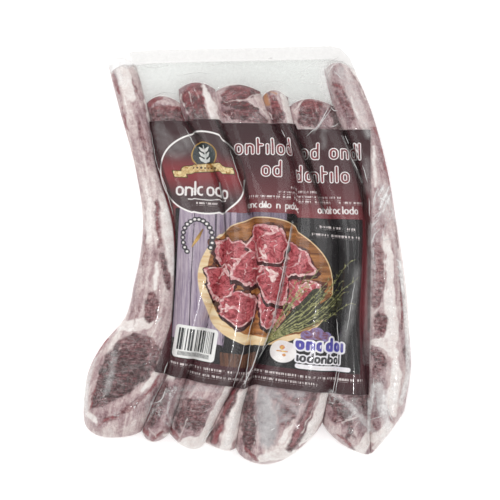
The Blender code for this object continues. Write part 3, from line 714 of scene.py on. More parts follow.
for chop, name in enumerate(("left", "second", "third", "fourth", "fifth", "sixth", "right")):
    points, grown, fields = chop_mesh(chop)
    new_piece(f"chop_{name}", lamb, "packed_meat", points, shell_faces(CHOP_ROWS, CHOP_COLUMNS),
              uv=grown, **fields)

# ---------------------------------------------------------------------------------------------
# The label
# One sheet of coated paper, slipped in over the chops before the bag is emptied, so that the
# film presses it into every dip. It is printed in fields of colour and simple shapes.
# ---------------------------------------------------------------------------------------------
LABEL_GAP, PAPER = 0.5, 0.15                             # mm from the meat's skin, and thickness
LABEL_TOP = ((-66, 91), (-37.5, 91), (-36, 92), (-19, 92), (-17, 89.5), (32.5, 89), (34, 85.2), (83.5, 85))
LABEL_BOTTOM = ((-62.5, -79), (-32, -85.5), (-2, -90), (5, -87), (50, -92.5), (82, -94.5))
LABEL_RIGHT = ((-94.5, 82), (0, 83.3), (85, 83.5))       # y, x
SHEET_LOW, SHEET_TALL = -88.0, 177.5                     # of the print, measured up the sheet
SHEET_UNIT = 200                                         # mm to one unit of its map
TUCK_END, TUCK_LOW, TUCK_GAP = -45.0, (-79.0, -62.5), 0.8
LABEL_ROWS = 281
LABEL_COLUMNS = (14, 50, 34, 50, 58, 46, 12)             # on each chop
SETTLING_ROUNDS = 4                                      # in which x and y come to fit each other
# Creases in which the label is painted darker, as the shade that falls in its dips between chops.
SHADED_CREASES = (                                                 # dark creases: x, y and half width
    ((-41, 90.5, 0.4), (-35, 82.5, 0.7), (-31, 79, 0.4)),
    ((-22, 93, 0.7), (-18, 85, 1), (-12.5, 75, 1.7), (-6.5, 63, 2.7), (-3, 52.5, 2), (-0.5, 41, 1.4),
     (1, 28, 1)),
    ((-23.5, 60, 0.5), (-18, 46, 0.8), (-15.5, 29, 0.5), (-14.5, 10, 0.3)),
    ((29, 86.5, 0.7), (34.5, 77, 1), (40, 66, 2.4), (44, 54.5, 2), (48, 42, 1.4), (51.5, 29, 0.8)),
    ((61, 94, 1.4), (65.5, 83.5, 2), (70.5, 71.5, 2.4), (75, 56.5, 2.4), (78.5, 41, 2), (81.5, 24, 1.7),
     (82.5, -3.5, 1.4), (82, -51, 1)),
    ((-63.5, 79, 0.5), (-57.5, 56.5, 0.8), (-54, 44, 1.4), (-50, 27, 0.7), (-48.5, 10, 0.4)),
)
SIGN_WIDE, SIGN_TALL, SIGN_ARM = 0.74, 1.5, 0.3          # letter-like signs, in shares of their size
SIGN_SPACE, SIGN_GAP, SIGN_MOUTH = 0.4, 0.03, 0.75


def label_left(y):
    """x of the left edge: beside the first seam, and out over the first chop below the tuck."""
    out = np.interp(y, (TUCK_LOW[0], TUCK_END), (TUCK_LOW[1], float(seam_x(1, TUCK_END)) - TUCK_GAP))
    return np.where(y > TUCK_END, seam_x(1, y) - TUCK_GAP, out)


def label_ends(x):
    """y of the lower and of the upper edge over x."""
    return np.interp(x, *zip(*LABEL_BOTTOM)), np.interp(x, *zip(*LABEL_TOP))


def label_column(chop, share, y):
    """x of a column that keeps its share of the label's width on one chop."""
    left, right = seam_x(chop, y), seam_x(chop + 1, y)
    if chop == 0:
        left = np.minimum(label_left(y), right - TUCK_GAP)
    if chop == CHOPS - 1:
        right = np.interp(y, *zip(*LABEL_RIGHT))
    return left * (1 - share) + right * share


def shares_on(chop, count):
    """Even shares across a chop, without its right seam where the next chop has it."""
    return np.linspace(0, 1, count + 1)[:-1 if chop < CHOPS - 1 else None]


def label_surface():
    """x, y and z of the label's grid, column by column over the chops, and where each point lies
    on the print: mm across, shared out by arc length, so that it closes up in dips, and mm up."""
    along = np.linspace(0, 1, LABEL_ROWS)
    columns = []
    for chop, count in enumerate(LABEL_COLUMNS):
        share, t = np.meshgrid(shares_on(chop, count), along)
        y = SHEET_LOW + SHEET_TALL * t
        for _ in range(SETTLING_ROUNDS):
            low, high = label_ends(label_column(chop, share, y))
            y = low + (high - low) * t
        x = label_column(chop, share, y)
        across = (x - seam_x(chop, y)) / (seam_x(chop + 1, y) - seam_x(chop, y))
        columns.append((x, y, skin_top(chop, across, y) + LABEL_GAP))
    x, y, z = (np.concatenate(part, axis=1) for part in zip(*columns))
    step = np.sqrt(np.diff(x, axis=1) ** 2 + np.diff(z, axis=1) ** 2)
    run = np.concatenate([np.zeros((LABEL_ROWS, 1)), np.cumsum(step, axis=1)], axis=1)
    wide = x[:, :1] + (x[:, -1:] - x[:, :1]) * run / run[:, -1:]
    tall = np.broadcast_to(SHEET_LOW + SHEET_TALL * along[:, None], wide.shape)
    return x, y, z, wide, tall


x, y, z, wide, tall = label_surface()
dips = np.maximum.reduce([stroke_depth(points, x, y) for points in SHADED_CREASES])
blank = np.full(wide.shape, -FIELD_REACH)                # a field of print with nothing in it yet


def disc(a, b, radius):
    """mm inside a circle on the print."""
    return radius - np.hypot(wide - a, tall - b)


def block(a, b, width, height, corner=0.3, lean=0.0):
    """mm inside a rectangle with round corners, its sides leaning a share of each mm up."""
    u = np.abs(wide - a - lean * (tall - b)) - width / 2 + corner
    v = np.abs(tall - b) - height / 2 + corner
    return corner - np.hypot(u.clip(0), v.clip(0)) - np.minimum(np.maximum(u, v), 0)


def stroke(*points):
    return stroke_depth(points, wide, tall)


def joined(*depths):
    return np.maximum.reduce(depths)


def block_row(start, end, b, height, widest, gap):
    """A row of blocks of uneven width, each a gap from the last, in place of a line of print:
    every fourth is taller, and every sixth has a wider gap after it."""
    depth, a, count = blank, start, 0
    while a < end:
        width = widest * (0.55 + 0.45 * abs(sin(2.4 * count + start)))
        tall_one = height * (1.25 if count % 4 == 2 else 1.0)
        middle = b + (tall_one - height) / 2
        depth = np.maximum(depth, block(a + width / 2, middle, width, tall_one, 0.42 * min(width, height)))
        a, count = a + width + (2.5 * gap if count % 6 == 5 else gap), count + 1
    return depth


def lettering(kinds, a, b, size, thick):
    """Strokes as even as a line of type, but words of no language: rings, arches and posts, one
    for each sign in kinds, from mm a on, standing on mm b and size mm high, without tall posts."""
    depth = blank
    for sign in kinds:
        low, high, right = b + thick, b + size - thick, a + SIGN_WIDE * size - 2 * thick
        ring = thick - np.abs(block((a + right) / 2, b + size / 2, right - a, high - low, (right - a) / 2))
        parts = []
        if sign in "odbp":
            parts.append(ring)
        if sign == "c":
            parts.append(np.minimum(ring, a + SIGN_MOUTH * (right - a) - wide))
        if sign == "n":
            parts += [np.minimum(ring, tall - b - size / 2),
                      stroke((right, low, thick), (right, high - 1.5 * thick, thick))]
        if sign in "nir":
            parts.append(stroke((a, low, thick), (a, high, thick)))
        if sign in "bltd":
            post = right if sign == "d" else a
            parts.append(stroke((post, low, thick), (post, b + SIGN_TALL * size - thick, thick)))
        if sign == "t":
            parts.append(stroke((a, high, thick), (a + SIGN_ARM * size, high, thick)))
        if sign == "p":
            parts.append(stroke((a, high, thick), (a, b - size / 2, thick)))
        depth = joined(depth, *parts)
        wide_here = {"l": 0.0, "i": 0.0, "t": SIGN_ARM * size, " ": SIGN_SPACE * size}.get(sign, right - a)
        a += wide_here + 2.5 * thick + SIGN_GAP * size
    return depth


def text_row(start, end, middle, height, drop=0.0):
    """The share of the way down a row of small print that falls by drop a mm, and -1 outside it."""
    down = (middle - drop * (wide - start) - tall) / height + 0.5
    return np.where((down > 0) & (down < 1) & (wide > start) & (wide < end), down, -1.0)


# The picture's place holds a plain round board, round slices heaped on it, and a sprig. Each
# slice covers those before it: a rim of fat thick on one side, two muscles, and a bent bone.
HEAP_TURN, SLICE_TURN = 2.4, 1.9          # where the ring of slices starts, and from slice to slice
SLICE_EDGES = ((17, 1.6), (6, 0.5))       # mm from crest to crest, and mm of shift
STEM = (14, -60)                          # the sprig's foot
SPRIG_TIPS = ((33, -15), (38, -8), (45, -4), (52, -9), (58, -6), (66, 1), (70, -10), (62, -20),
              (66, -27), (54, -34), (47, -18), (56, -25), (41, -15), (60, -13))
heap = [(7 + 27 * cos(t), -15.5 + 23 * sin(t), 13.0) for t in HEAP_TURN + np.arange(7) * pi / 3.5]
heap += [(-1, -9, 12.5), (17, -19, 13.5), (14, 6, 12.0)]     # middle and radius
slices = flesh_part = rims = bones = shadow = blank
for k, (a, b, radius) in enumerate(heap):
    u, v = wide - a, tall - b
    for size, reach in SLICE_EDGES:
        shift_u, shift_v = wander(u + 31 * k, v, size, reach)
        u, v = u + shift_u, v + shift_v
    turn = HEAP_TURN + k * SLICE_TURN
    side, up = u * cos(turn) + v * sin(turn), v * cos(turn) - u * sin(turn)
    bent = radius - np.hypot(side * (1 - 0.02 * up), up * 1.2)
    seam = side - 0.15 * radius + 0.05 * up ** 2
    bone = joined(1.4 - np.abs(side + 0.62 * radius) - 0.08 * up ** 2,
                  np.minimum(0.8 - np.abs(up - 0.1 * side), -side - 0.1 * radius))
    fat_here = 1.3 + 1.6 * np.clip(side / radius, 0, 1)
    shade = np.roll(bent, (-3, 1), axis=(0, 1)) + 1.0
    slices = joined(slices, bent)
    shadow, flesh_part, rims, bones = [
        joined(np.minimum(below, -bent), own) for below, own in (
            (shadow, np.minimum(shade, -bent)), (flesh_part, bent - fat_here),
            (rims, np.minimum(0.35 - np.abs(seam), bent - 2)), (bones, np.minimum(bone, bent - 0.8)))]
sprigs = leaves = blank
for k, (a, b) in enumerate(SPRIG_TIPS):       # a bent stalk to each tip, with leaves either side
    middle = (STEM[0] + 0.5 * (a - STEM[0]) + 3 * sin(2 * k), STEM[1] + 0.44 * (b - STEM[1]))
    sprigs = joined(sprigs, stroke((*STEM, 0.35), (*middle, 0.3), (a, b, 0.15)))
    for n, t in enumerate(np.linspace(0.1, 1.0, 9)):
        root = (middle[0] + t * (a - middle[0]), middle[1] + t * (b - middle[1]))
        lean_to = np.arctan2(b - middle[1], a - middle[0]) + (0.7 if n % 2 else -0.7) + 0.3 * sin(5 * n + k)
        long = 2.6 + sin(3 * n + 2 * k)
        leaf_tip = (root[0] + long * cos(lean_to), root[1] + long * sin(lean_to), 0.15)
        leaves = joined(leaves, stroke((*root, 0.3), leaf_tip))
title = joined(*(lettering(signs, a, b, 8.0, 1.15) for signs, a, b in (
    ("ontilod", -8, 68.0), ("od", 38.5, 68.6), ("ondl", 56.5, 68.9), ("od", 8.5, 53.2),
    ("dontilo", 31, 53.0))))
badge_line = 0.55 - np.abs(disc(-30.5, 53.5, 27.8))
badge_line = np.where((wide > -9) & (tall > 52) & (tall < 70), -3.0, badge_line)
purple_row = lettering("oncdoi", 34, -60.4, 6.4, 1.0)
charcoal_row = lettering("iodonbol", 34.5, -68.6, 4.6, 0.6)
beads = joined(*(disc(-34.5 + 8.2 * cos(t), 9 + 12.5 * sin(t), 0) for t in np.linspace(-0.5, 4.0, 17)))
INKS = (        # name, two shades that the ink varies between, how it varies, mm inside it
    ("panel", "#121113", "#2f2b2e", "planks", block(12.2, -22.5, 124.5, 103, 0.6, 0.04)),
    ("far_planks", "#51475a", "#8d7f92", "planks", block(2, 8, 40, 42, 0.2, 0.04)),
    ("near_planks", "#83728c", "#c4b6c2", "planks", block(-30, -16, 36, 90, 0.2, 0.07)),
    ("joints", "#33283a", "#4c3f50", "even",
     joined(*(stroke((a, 29, w), (a - 2.5, -62, w))
              for a, w in ((-36, 0.3), (-24, 0.5), (-13, 0.4), (2, 0.4))))),
    ("bench", "#3e2b27", "#80553f", "planks", block(-5, -70, 24, 9)),
    ("board_edge", "#f0dfbe", "#ddb987", "board", disc(9.5, -17.5, 43.5)),
    ("board", "#bd7f48", "#663a1f", "board", np.minimum(disc(9.5, -17.5, 42.8), disc(13.5, -13, 42.5))),
    ("gaps", "#23100f", "#7a3a22", "flesh",
     slices + 1.2 + 1.2 * np.sin(0.3 * wide) * np.cos(0.4 * tall)),
    ("fat_rim", "#efd0cd", "#b9606c", "flesh", slices),
    ("slice", "#7c1a26", "#cf6a72", "flesh", flesh_part),
    ("rim", "#f3d3d3", "#a83a4a", "flesh", rims),
    ("bone", "#fbe9e4", "#c97f86", "flesh", bones),
    ("shadow", "#2a1114", "#4c1a1c", "even", shadow),
    ("herb_shade", "#23241d", "#45432e", "flesh",
     joined(stroke((15, -60, 1), (38, -40, 4.5), (56, -26, 5)), stroke((20, -54, 1), (44, -22, 4)))),
    ("sprig", "#565c30", "#b4b27c", "flesh", joined(sprigs, leaves)),
    ("badge", "#8a3239", "#483639", "fade", disc(-30.5, 53.5, 27.5)),
    ("badge_line", "#f6f2f1", "#f6f2f1", "even", badge_line),
    ("crest_line", "#c09a55", "#8d6c33", "even", disc(-30, 65.5, 9.0)),
    ("crest", "#272e30", "#3b4345", "even", disc(-30, 65.5, 8.2)),
    ("leaf", "#eeecea", "#cfd3d2", "even",
     joined(stroke((-30, 59, 0.6), (-30, 72, 0.4)),
            *(stroke((-30, b, 0.5), (-30 + 2.2 * s, b + 1.6, 1.1), (-30 + 3.8 * s, b + 3.2, 0.4))
              for s in (-1, 1) for b in (60.5, 64, 67.5)))),
    ("ribbon_edge", "#5c4522", "#3c2c16", "even",
     joined(block(-45.5, 52.6, 8.5, 5.2, 0.3, -0.3), block(-14.5, 57.2, 8.5, 5.2, 0.3, -0.3),
            stroke((-42, 55.4, 3.1), (-30, 56.8, 3.2), (-18, 57.6, 3.1)))),
    ("ribbon", "#a8752a", "#f0deac", "flesh",
     joined(block(-45.5, 52.6, 7.3, 4, 0.3, -0.3), block(-14.5, 57.2, 7.3, 4, 0.3, -0.3),
            stroke((-42, 55.4, 2.5), (-30, 56.8, 2.6), (-18, 57.6, 2.5)))),
    ("ribbon_marks", "#5a3a20", "#4a2c18", "even", block_row(-38, -22, 56.6, 1.2, 1.6, 0.9)),
    ("pale", "#f7f3f2", "#e2dbdc", "even",
     joined(lettering("onlcodo", -47, 37.6, 6.6, 0.62),
            stroke((-40, 35.6, 0.4), (-28, 34.9, 0.3), (-16, 36.6, 0.4)),
            lettering("oncdilo n pidoc", -1.5, 31.8, 3.4, 0.36),
            lettering("onditoclodo", 44.5, 32.2, 3.6, 0.38),
            disc(26.4, -63.4, 7.4), block(30.5, -58.5, 3.0, 3.0, 1.2))),
    ("bead_edge", "#241f26", "#39323c", "even", beads + 1.75),
    ("bead", "#f0ecea", "#dcd6d8", "even", beads + 0.85),
    ("stalk", "#caa054", "#7d5a2a", "even", stroke((-37, 3, 0.5), (-34, 9, 1.0), (-31.5, 15, 0.4))),
    ("title_line", "#fffdfd", "#f0e4e6", "even", title),
    ("title_core", "#8e2e38", "#5b3a3e", "flesh", title - 0.55),
    ("fruit", "#7a4450", "#8d83b8", "flesh",
     joined(disc(39, -50.5, 3.6), disc(44, -48.6, 4.2), disc(49.5, -50.5, 3.4))),
    ("plate", "#f7f5f8", "#e9e6ee", "even",
     joined(1.1 + purple_row, 0.9 + charcoal_row, block(50, -71.6, 33, 3, 1.2))),
    ("purple", "#453f97", "#5a53ad", "even", purple_row),
    ("charcoal", "#2c2b30", "#454349", "even", charcoal_row),
    ("speckle", "#e5c25a", "#c0505f", "flesh", joined(disc(26.2, -60.6, 1.5), disc(27.5, -65.6, 1.0),
                                                     block(26.2, -63.2, 6.5, 0.9))),
)
small_print = joined(*(text_row(*row) for row in (       # from, to, middle, height and fall
    (25, 45, 46.7, 3.0), (17, 62, 43.3, 3.0), (0, 77, 40.0, 3.0), (-38, -22, 32.6, 3.0),
    (43, 69, 23.6, 3.4, 0.06), (40, 72, 18.4, 3.4, 0.06), (-54, 75, -78.2, 3.6),
    (-38, 46, -82.6, 3.6), (34, 66, -71.6, 1.6))))

# Coated paper, printed: flat ink that shifts a little in tone, under a thin even gloss, with painted
# shade darkening it along the creases. The small print is drawn as coarse as it needs to show:
# dashes, about a millimetre to a stroke.
printed, node = new_material("coated_paper_printed")
sheet = node("ShaderNodeUVMap", uv_map="flat")
split = node("ShaderNodeSeparateXYZ", {0: sheet})
sheet_a, sheet_b = split.outputs[0], split.outputs[1]
base = node("ShaderNodeValToRGB", {0: sheet_b}, stops=(
    (0.06, "#3a2024"), (0.95, "#36191e"), (0.2, "#582c35"), (0.35, "#8d474e"), (0.66, "#7e3a40"),
    (0.7, "#6a3339"), (0.8, "#4a262c")))
upright = node("ShaderNodeMapping", {"Vector": sheet, "Scale": (1.0, 0.06, 1.0)})
level = node("ShaderNodeMapping", {"Vector": sheet, "Rotation": (0, 0, 0.5), "Scale": (0.15, 1.0, 1.0)})
planks, board, flesh, even, ripple = [
    node("ShaderNodeTexNoise", {"Vector": vector, "Scale": SHEET_UNIT / size, "Detail": detail,
                                "Roughness": rough, "Distortion": warp})
    for vector, size, detail, rough, warp in (           # mm to a blotch
        (upright, 1.5, 5.0, 0.7, 0.0), (level, 3.5, 4.0, 0.5, 1.0), (sheet, 3.0, 4.0, 0.5, 1.5),
        (sheet, 9.0, 2.0, 0.5, 0.0), (sheet, 7.0, 3.0, 0.5, 0.0))]
vary = {kind: node("ShaderNodeMapRange", {"Value": source, 1: 0.35, 2: 0.65}) for kind, source in
        (("planks", planks), ("board", board), ("flesh", flesh), ("even", even))}
fade = node("ShaderNodeMath", {0: sheet_b, 1: 0.765}, operation="SUBTRACT")
fade = node("ShaderNodeMath", {0: fade}, operation="ABSOLUTE")
vary["fade"] = node("ShaderNodeMapRange", {"Value": fade, 1: 0.0, 2: 0.09}, interpolation_type="SMOOTHSTEP")
for name, first, second, kind, _ in INKS:
    depth = node("ShaderNodeAttribute", attribute_name=name).outputs["Fac"]
    share = node("ShaderNodeMapRange", {"Value": depth, 1: -0.12, 2: 0.12})
    shade = node("ShaderNodeMix", {0: vary[kind], 6: colour(first), 7: colour(second)}, data_type="RGBA")
    base = node("ShaderNodeMix", {0: share, 6: base, 7: shade}, data_type="RGBA")
row = node("ShaderNodeAttribute", attribute_name="small_print").outputs["Fac"]
middle = node("ShaderNodeMath", {0: row, 1: 0.5}, operation="SUBTRACT")
middle = node("ShaderNodeMath", {0: middle}, operation="ABSOLUTE")
letters = node("ShaderNodeCombineXYZ", {0: sheet_a, 2: sheet_b})
letters = node("ShaderNodeMapping", {"Vector": letters, "Scale": (SHEET_UNIT / 0.7, 1.0, SHEET_UNIT / 8.0)})
letters = node("ShaderNodeTexNoise", {"Vector": letters, "Scale": 1.0, "Detail": 2.0})
lit = node("ShaderNodeMapRange", {"Value": letters, 1: 0.49, 2: 0.54})
near = node("ShaderNodeMapRange", {"Value": middle, 1: 0.25, 2: 0.17, 3: 0.0, 4: 0.85})
real = node("ShaderNodeMath", {0: row, 1: 0.0}, operation="GREATER_THAN")
for source in (near, real):
    lit = node("ShaderNodeMath", {0: lit, 1: source}, operation="MULTIPLY")
base = node("ShaderNodeMix", {0: lit, 6: base, 7: colour("#e9dede")}, data_type="RGBA")
# Painted shade: along the creases the paper is mixed towards near black, for the shade in the dips.
dip = node("ShaderNodeAttribute", attribute_name="dip").outputs["Fac"]
dip = node("ShaderNodeMapRange", {"Value": dip, 1: -0.9, 2: 0.6, 3: 0.0, 4: 0.72},
           interpolation_type="SMOOTHSTEP")
base = node("ShaderNodeMix", {0: dip, 6: base, 7: colour("#17100f")}, data_type="RGBA")
bump = node("ShaderNodeBump", {"Height": ripple, "Strength": 0.5, "Distance": 0.8 * MM})
coated = node("ShaderNodeBsdfPrincipled", {"Base Color": base, "Roughness": 0.4, "Normal": bump,
                                           "Specular IOR Level": 0.08})
node("ShaderNodeOutputMaterial", {"Surface": coated})

flat = both_faces(np.stack([wide, tall], axis=2) / SHEET_UNIT + 0.5)
fields = {name: both_faces(depth) for name, _, _, _, depth in INKS}
label = new_piece("printed_label", printed, "label_paper", two_skins(x, y, z + PAPER, z),
                  shell_faces(*x.shape), uv=flat, small_print=both_faces(small_print),
                  dip=both_faces(dips), **fields)
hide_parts("label")

# ---------------------------------------------------------------------------------------------
# The barcode sticker
# White self-adhesive paper with rounded corners, stuck on the label by hand and a little askew,
# printed with made-up bars and a row of dashes.
# ---------------------------------------------------------------------------------------------
STICKER_CENTRE, STICKER_SIZE = (-35.3, -59.2), (29, 22)
STICKER_CORNER, STICKER_TURN = 2.5, radians(-9)
STICKER_LIFT, STICKER_THICK = 0.72, 0.1
STICKER_GRID, STICKER_UNIT = (61, 81), 30                # rows and columns; mm to a unit of its map
BAR, DASH = 0.36, 0.8                                    # mm from one to the next


def skin_top_at(x, y):
    """Height of the upper skin over any point: that of the chop between whose seams it lies."""
    height = np.zeros(np.shape(x))
    for chop in range(CHOPS):
        left, right = seam_x(chop, y), seam_x(chop + 1, y)
        mine = ((x >= left) | (chop == 0)) & ((x < right) | (chop == CHOPS - 1))
        across = np.clip((x - left) / (right - left), 0, 1)
        height = np.where(mine, skin_top(chop, across, y), height)
    return height


def sticker_surface():
    """A grid squeezed sideways near its short ends, so that its corners are quarter circles."""
    rows, cols = STICKER_GRID
    side, up = np.meshgrid(np.linspace(-1, 1, cols), np.linspace(-1, 1, rows))
    up = np.sin(up * pi / 2)
    v = up * STICKER_SIZE[1] / 2
    past = np.clip((np.abs(v) - STICKER_SIZE[1] / 2 + STICKER_CORNER) / STICKER_CORNER, 0, 1)
    half = STICKER_SIZE[0] / 2 - STICKER_CORNER * (1 - np.sqrt(1 - past ** 2))
    u = side * half
    x = STICKER_CENTRE[0] + u * cos(STICKER_TURN) - v * sin(STICKER_TURN)
    y = STICKER_CENTRE[1] + u * sin(STICKER_TURN) + v * cos(STICKER_TURN)
    return x, y, skin_top_at(x, y) + STICKER_LIFT, u, v


# White uncoated paper, thermally printed: bars of uneven width, here from a random pattern.
white_paper, node = new_material("white_thermal_paper")
sheet = node("ShaderNodeUVMap", uv_map="flat")
split = node("ShaderNodeSeparateXYZ", {0: sheet})
across_mm, up_mm = [node("ShaderNodeMath", {0: split.outputs[k], 1: STICKER_UNIT}, operation="MULTIPLY")
                    for k in (0, 1)]
slit, dash = [node("ShaderNodeMath", {0: across_mm, 1: 1 / pitch}, operation="MULTIPLY")
              for pitch in (BAR, DASH)]
slit = node("ShaderNodeMath", {0: slit}, operation="FLOOR")
slit = node("ShaderNodeTexWhiteNoise", {"W": slit}, noise_dimensions="1D")
dash = node("ShaderNodeMath", {0: dash}, operation="FRACT")
marks = []
for source, bare, left, right, low, high in (            # share left bare, and mm of their sides
        (slit, 0.36, 3.0, 27.0, 9.3, 24.0), (dash, 0.45, 4.0, 25.5, 5.6, 8.4)):
    ink = node("ShaderNodeMath", {0: source, 1: bare}, operation="GREATER_THAN")
    for mm, limit, test in ((across_mm, left, "GREATER_THAN"), (across_mm, right, "LESS_THAN"),
                            (up_mm, low, "GREATER_THAN"), (up_mm, high, "LESS_THAN")):
        inside = node("ShaderNodeMath", {0: mm, 1: limit}, operation=test)
        ink = node("ShaderNodeMath", {0: ink, 1: inside}, operation="MULTIPLY")
    marks.append(ink)
black = node("ShaderNodeMath", {0: marks[0], 1: marks[1]}, operation="MAXIMUM")
base = node("ShaderNodeMix", {0: black, 6: colour("#eeedec"), 7: colour("#1d1e22")}, data_type="RGBA")
paper = node("ShaderNodeBsdfPrincipled", {"Base Color": base, "Roughness": 0.55})
node("ShaderNodeOutputMaterial", {"Surface": paper})

x, y, z, u, v = sticker_surface()
flat = both_faces(np.stack([u, v], axis=2) / STICKER_UNIT + 0.5)
sticker = new_piece("code_sticker", white_paper, "sticker_paper",
                    two_skins(x, y, z + STICKER_THICK, z), shell_faces(*STICKER_GRID), uv=flat)
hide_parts("barcode_sticker")

# ---------------------------------------------------------------------------------------------
# The bag
# Two sheets of clear nylon and polythene film, sealed round the edge and drawn tight by the
# vacuum. It lies on the meat, steps over the label, and runs flat to the heat seal at the top.
# ---------------------------------------------------------------------------------------------
TOP_EDGE_X = (-97, -93.5, -86, -66, 57, 64, 70)
TOP_EDGE_Y = (132.5, 135.5, 138.8, 140.8, 143.6, 142, 135.5)
FILM_COLUMNS, FILM_ROWS, FILM_CROWD = 36, 301, 0.5       # on each chop, and from lobe to seal
FILM_OVER_LABEL = 0.3                                    # mm over the label's upper face
FILM_HALF = 0.12                                         # half the thickness of the sealed edge
FILM_LANDING = 2                                         # mm over which it comes down to an edge
SEAL_BAND, SEAL_BLUR = 9.5, 0.7
WEB_VEIL, WEB_SLACK, WEB_CALM, WEB_EMPTY = (12, 42), (20, 45), (28, 38), (50, 60)    # mm from the top
EMPTY_THICK = (2.5, 6.5)                                 # mm from sheet to sheet of an empty part
VEIL, VEIL_IN_WEB, VEIL_MOST = 0.015, 0.08, 0.75         # share of light that the film scatters
SLACK, SLACK_LOST, SLACK_IN_WEB = 0.35, 0.25, 0.05       # mm of wrinkles, less on the label
CRINKLE_GLINT = 0.2
HAZE = (                                    # share of the light that cloudy film scatters back
    (0.55, (-92, 134, 3.4), (-85.5, 136.5, 4.1), (-82, 131, 2.7)),
    (0.3, (-88.5, 126, 2.7), (-86, 118, 2.4)),
    (0.08, (-61, 87, 2.7), (-55.5, 76, 6.1), (-48, 71.5, 6.1), (-40.5, 78, 4.1)),
    (0.3, (53.5, 129, 3.4), (53, 115.5, 2.7), (56, 107.5, 2.0)),
    (0.22, (65, 124.5, 4.1), (74, 104, 3.4), (82, 81.5, 1.4)),
    (0.22, (13.5, -100, 3.4), (16, -113.5, 4.1), (11, -126, 2.7)),
    (0.06, (-56, -98.5, 6.1), (-46, -100, 5.4)), (0.14, (69.5, -102, 5.4), (80, -115.5, 3.4)),
    (0.16, (88.5, -85, 3.4), (88.5, -104, 3.4)), (0.14, (51.5, 84, 0.8), (51.5, 73.5, 0.8)),
    (0.16, (-108.5, -71.5, 2), (-111, -92, 2), (-108.5, -112, 2)),
    (0.14, (80.5, 64.5, 1.4), (82, 44, 1.4)), (0.12, (63, -61, 2), (68.5, -44, 2), (74, -10, 2)),
    (0.15, (94, 44, 2.7), (91.5, 27, 2.7)),
)
# Many of these are painted highlights: white haze where the lamps glint along the film's pleats and over the
# white strips of fat, and painted light along the seams of the lowest lobes, lifting their shade.
PLEATS_AND_GLINTS = (                                 # the same with sharper edges, where film stands in pleats
    (0.22, (56, -92, 1.7), (69.5, -102, 2.0), (87.5, -121.5, 2.0)),
    (0.2, (-89.5, -66, 1.7), (-91.5, -79.5, 2.0), (-95.5, -93, 1.7)),
    (0.3, (-101.5, -64.5, 1.4), (-107, -78, 2.0), (-110, -95, 2.0), (-109, -107, 1.4)),
    (0.2, (-54, -90.5, 0.6), (-59.5, -100, 0.7), (-67.5, -112, 0.6)),
    (0.15, (-66.5, -95, 0.8), (-69, -107, 0.8)),
    (0.2, (-51.5, -93, 0.8), (-54, -105.5, 0.8), (-49.5, -117.5, 0.7)),
    (0.25, (-59.5, -107, 0.5), (-52.5, -115.5, 0.7)),
    (0.15, (-48.5, -90.5, 2.0), (-32.5, -89, 2.0), (-18.5, -91, 1.7)),
    (0.4, (85, -88.5, 1.4), (84, -98.5, 1.4), (82.5, -107, 1.0)),
    (0.3, (93, -92, 1.7), (92, -105.5, 2.0), (95.5, -116.5, 1.7)),
    (0.45, (82, -98, 0.8), (82.3, -112, 1.0), (81.5, -128, 0.8)),
    (0.3, (-57, -86, 0.8), (-64, -99, 1.0), (-69.5, -114, 0.8)),
    (0.25, (99, -88.5, 1.4), (101, -98.5, 1.4)),
    (0.4, (30.5, 22.5, 0.3), (27.5, 3.5, 0.5), (23, -24, 0.5), (16.5, -47.5, 0.5), (10, -63, 0.3)),
    (0.25, (88.5, 51, 1.0), (95.5, 37.5, 1.4), (100.5, 22.5, 1.0)),
    (0.2, (97.5, 17, 1.0), (102.5, -5, 1.4), (104.5, -24, 1.0)),
    (0.5, (93.5, 49, 0.3), (91, 44, 0.5), (88, 39.5, 0.3)),
    (0.5, (96, 46, 0.3), (93, 39, 0.5), (89.5, 31.5, 0.3)),
    (0.5, (97.5, 42, 0.3), (95, 36, 0.4), (91.5, 29, 0.3)),
    (0.4, (88.5, 45, 0.3), (86.5, 39, 0.4), (85.5, 32, 0.3)),
    (0.4, (90, 29, 0.4), (87.5, 24.5, 0.5), (84, 19.5, 0.3)),
    (0.4, (94, 22.5, 0.3), (92, 16.5, 0.4), (90, 9.5, 0.3)),
    (0.35, (86.5, 18.5, 0.3), (85.5, 13, 0.3), (84, 8, 0.3)),
    (0.35, (100.5, 34, 0.3), (98.5, 28.5, 0.4), (95.5, 22.5, 0.3)),
    (0.3, (84.5, 3.5, 0.4), (86, -10, 0.5), (85.5, -24, 0.3)),
    (0.3, (64.5, 81, 0.3), (71, 64.5, 0.3), (78, 49.5, 0.3)),
    (0.3, (54.5, 100, 0.3), (50.5, 90.5, 0.4), (44.5, 83, 0.3)),
    (0.5, (103, -5, 1.0), (106.5, -37.5, 1.4), (108.5, -64.5, 1.7), (108.5, -81.5, 2.0),
     (103.5, -100, 1.7)),
    (0.25, (88.5, -88.5, 2.7), (91.5, -105.5, 3.4), (93.5, -115.5, 2.7)),
    (0.12, (84, 20.5, 2.0), (82, -30.5, 2.7), (80.5, -71.5, 2.7)),
    (0.3, (94.5, 6, 1.0), (95, -12, 1.4), (96, -34, 1.7), (97.5, -52, 2.0)),
    (0.3, (99.5, -73, 2.4), (99, -89, 2.7), (97, -104, 2.0)),
    (0.25, (-13, -90, 1.4), (-20, -103, 1.7), (-27, -117, 1.7)),
    (0.25, (-2, -93, 1.4), (-8.5, -111, 2.4), (-13.5, -126, 2.7)),
    (0.25, (52, -95, 1.7), (47, -109, 2.0), (40, -122, 2.4)),
    (0.12, (-44, -92, 2.4), (-48, -104, 2.4), (-51, -112, 2.0)),
)
